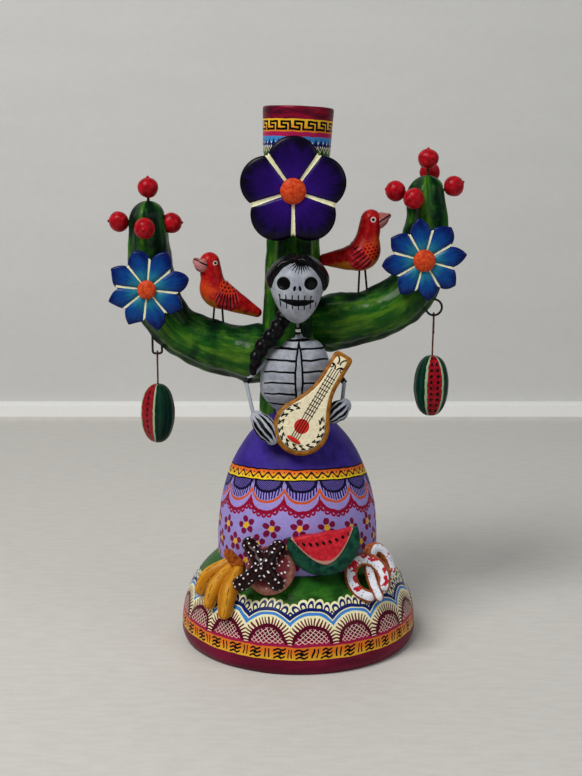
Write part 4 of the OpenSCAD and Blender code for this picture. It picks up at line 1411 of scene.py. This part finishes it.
def build_slice():
    turn = slice_turn()
    r = (39.0 ** 2 / 4 + SLICE_DEEP ** 2) / (2 * SLICE_DEEP)
    thick, sides, steps = 6.0, 28, 84
    middle_y = r - SLICE_DEEP
    half = acos(middle_y / r)
    rows = []
    for k in range(steps + 1):
        a = 2 * half * (k / steps - 0.5)
        rim = Vector((r * sin(a), middle_y - r * cos(a)))
        x = min(max(rim.x / SLICE_HALF, -1.0), 1.0)
        inner = Vector((17.0 * x, min(0.0, -(SLICE_DEEP - 6.4) * (1 - abs(x) ** 1.8))))
        row = []
        for j in range(sides):
            t = TURN * j / sides
            c, q = cos(t), sin(t)
            c, q = copysign(abs(c) ** 0.7, c), copysign(abs(q) ** 0.6, q)
            spot = inner.lerp(rim, 0.5 + 0.5 * c) * (1 + 0.004 * lump((k * 0.6, j * 0.6, 0), 5, 2.0))
            row.append(turn @ Vector((spot.x, spot.y, thick / 2 * (1 + q))))
        rows.append(row)
    rind = plain_paint("melon_rind", srgb(8, 44, 36), srgb(24, 76, 56), 3.4, 0.34, 0.5, 0.4)
    piece("melon_slice_skin", *skin(rows), "melon_slice_rind", rind)
    plate("melon_slice_face", "melon_slice_flesh", slice_paint(turn), turn, slice_edge,
          [(0.6, 0.5), (0.2, 1.2), (0.0, 4.6), (0.1, 5.5), (0.6, 5.9)], crown=0.25, middle=(0.0, -7.0))


def build_pastries():
    """Horseshoes, the front one with a tongue down its middle."""
    def ribbon(a, s, p):
        return 0.98 + 0.03 * lump(p, 5, 1.0) + 0.05 * abs(sin(radians(2 * a))) ** 2

    tongue = [(3.2, 1.0, 3.6, 3.0), (1.4, 0.2, -3.2, 3.2), (0.2, -0.8, -11.6, 2.8)]
    strip, n = 3.65, 12
    shapes = [("pastry_front", (0.1, -0.2, 0.0), 0, -30, 24.5, 28.4, tongue),
              ("pastry_rear", (0.5, 0.0, -0.4), 48, -14, 19.5, 26.0, None)]
    for node, shift, yaw, turn, w, h, inner in shapes:
        lean = (Matrix.Rotation(radians(yaw), 4, "Z") @ Matrix.Rotation(radians(-20), 4, "X")
                @ Matrix.Rotation(radians(turn), 4, "Y"))
        place = Matrix.Translation(at(node, 0.5, 0.5, 0.5) + Vector(shift)) @ lean
        ring = []
        for i in range(n + 1):
            a = radians(239 - 286 * i / n)
            ring.append(((w / 2 - strip) * cos(a), 1.2 - 2.4 * i / n, (h / 2 - strip) * sin(a), strip))
        paint = icing_paint(node + "_paint")
        side = lean.to_3x3() @ Vector((0, 1, 0))
        for part, stops in (("loop", ring), ("tongue", inner)):
            if stops:
                sweep(node + "_" + part, node, paint, [(place @ Vector(q[:3]), q[3]) for q in stops],
                      ribbon,
                      side=side, steps=8, sides=48, domes=6)


# ---------------------------------------------------------------- table, wall, light and camera

def flat_paint(name, dark, light, size, rough, grain, edge=-1.0):
    """Smooth paint, brightest below the height "edge"."""
    p = Paint(name)
    streak = p.noise(size, 5.0, p.vector(p.x * 0.25, p.y, p.z))
    p.colour = p.mix(rise(streak, 0.35, 0.65), dark, light)
    fleck = p.dots(31.0, 0.55) * (p.noise(60.0) > 0.5)
    p.over(fleck, srgb(226, 226, 222))
    p.over(p.z < edge, srgb(250, 250, 248))
    return p.finish(rough=rough, coat=0.0, bumps=[(streak, grain)], brush=0.02)


def build_stage():
    """A pale table that ends in a low bright edge before a plain wall."""
    deep, wide, tall = 608.0, 2200.0, 1500.0
    pale = flat_paint("table_paint", srgb(208, 206, 200), srgb(213, 211, 206), 4.0, 0.42, 0.05)
    plain = flat_paint("wall_paint", srgb(214, 214, 212), srgb(216, 216, 214), 30.0, 0.7, 0.05, 18.6)
    for name, paint, shape in (
            ("table", pale, [(-900.0, 0.0), (deep - 6, 0.0), (deep - 2, 1.0), (deep, 4.0)]),
            ("wall", plain, [(deep, 4.0), (deep + 1.0, 16.0), (deep + 8, 18.0), (deep + 14, 18.5),
                             (deep + 14, tall)])):
        mesh = bpy.data.meshes.new(name)
        verts = [Vector((x, y, z)) * MM for y, z in shape for x in (-wide, wide)]
        quads = [(2 * i, 2 * i + 1, 2 * i + 3, 2 * i + 2) for i in range(len(shape) - 1)]
        mesh.from_pydata(verts, [], quads)
        mesh.materials.append(paint)
        thing = bpy.data.objects.new(name, mesh)
        bpy.context.scene.collection.objects.link(thing)


def lamp(name, place, aim, size, power, colour):
    data = bpy.data.lights.new(name, "AREA")
    data.shape = "RECTANGLE"
    data.size, data.size_y = size
    data.energy = power
    data.color = colour
    thing = bpy.data.objects.new(name, data)
    thing.location = place
    thing.rotation_euler = (Vector(aim) - Vector(place)).to_track_quat("-Z", "Y").to_euler()
    bpy.context.scene.collection.objects.link(thing)


def build_light():
    scene = bpy.context.scene
    world = bpy.data.worlds.new("room")
    world.use_nodes = True
    background = world.node_tree.nodes["Background"]
    background.inputs["Color"].default_value = (0.93, 0.96, 1.0, 1.0)
    background.inputs["Strength"].default_value = 0.15
    scene.world = world
    middle = (0.0, 0.0, 0.14)
    lamp("window", (-0.65, -0.75, 1.35), middle, (0.7, 0.7), 20.0, (1.0, 0.985, 0.96))
    lamp("room_bounce", (1.2, -0.9, 0.9), middle, (1.2, 1.0), 4.2, (0.97, 0.98, 1.0))
    scene.view_settings.view_transform = "Standard"


LENS, PITCH = 54.09, 79.91
RIGHT_OF_MIDDLE, BEFORE_FRONT, BELOW_TOP = 0.0029, 0.5855, 0.0410       # metres, from the CAD box


def build_camera():
    low, high = CAD_BOX
    data = bpy.data.cameras.new("camera")
    data.sensor_fit = "VERTICAL"
    data.sensor_height = 36.0
    data.lens = LENS
    data.dof.use_dof = False
    thing = bpy.data.objects.new("camera", data)
    thing.location = ((low[0] + high[0]) / 2 + RIGHT_OF_MIDDLE, low[1] - BEFORE_FRONT,
                      high[2] - BELOW_TOP)
    thing.rotation_euler = (radians(PITCH), 0.0, 0.0)
    bpy.context.scene.collection.objects.link(thing)
    bpy.context.scene.camera = thing


build_base()
build_skirt()
build_cup()
build_cactus()
build_flowers()
build_fruits()
build_birds()
build_melons()
build_lady()
build_mandolin()
build_bananas()
build_bread()
build_slice()
build_pastries()
build_stage()
build_light()
build_camera()
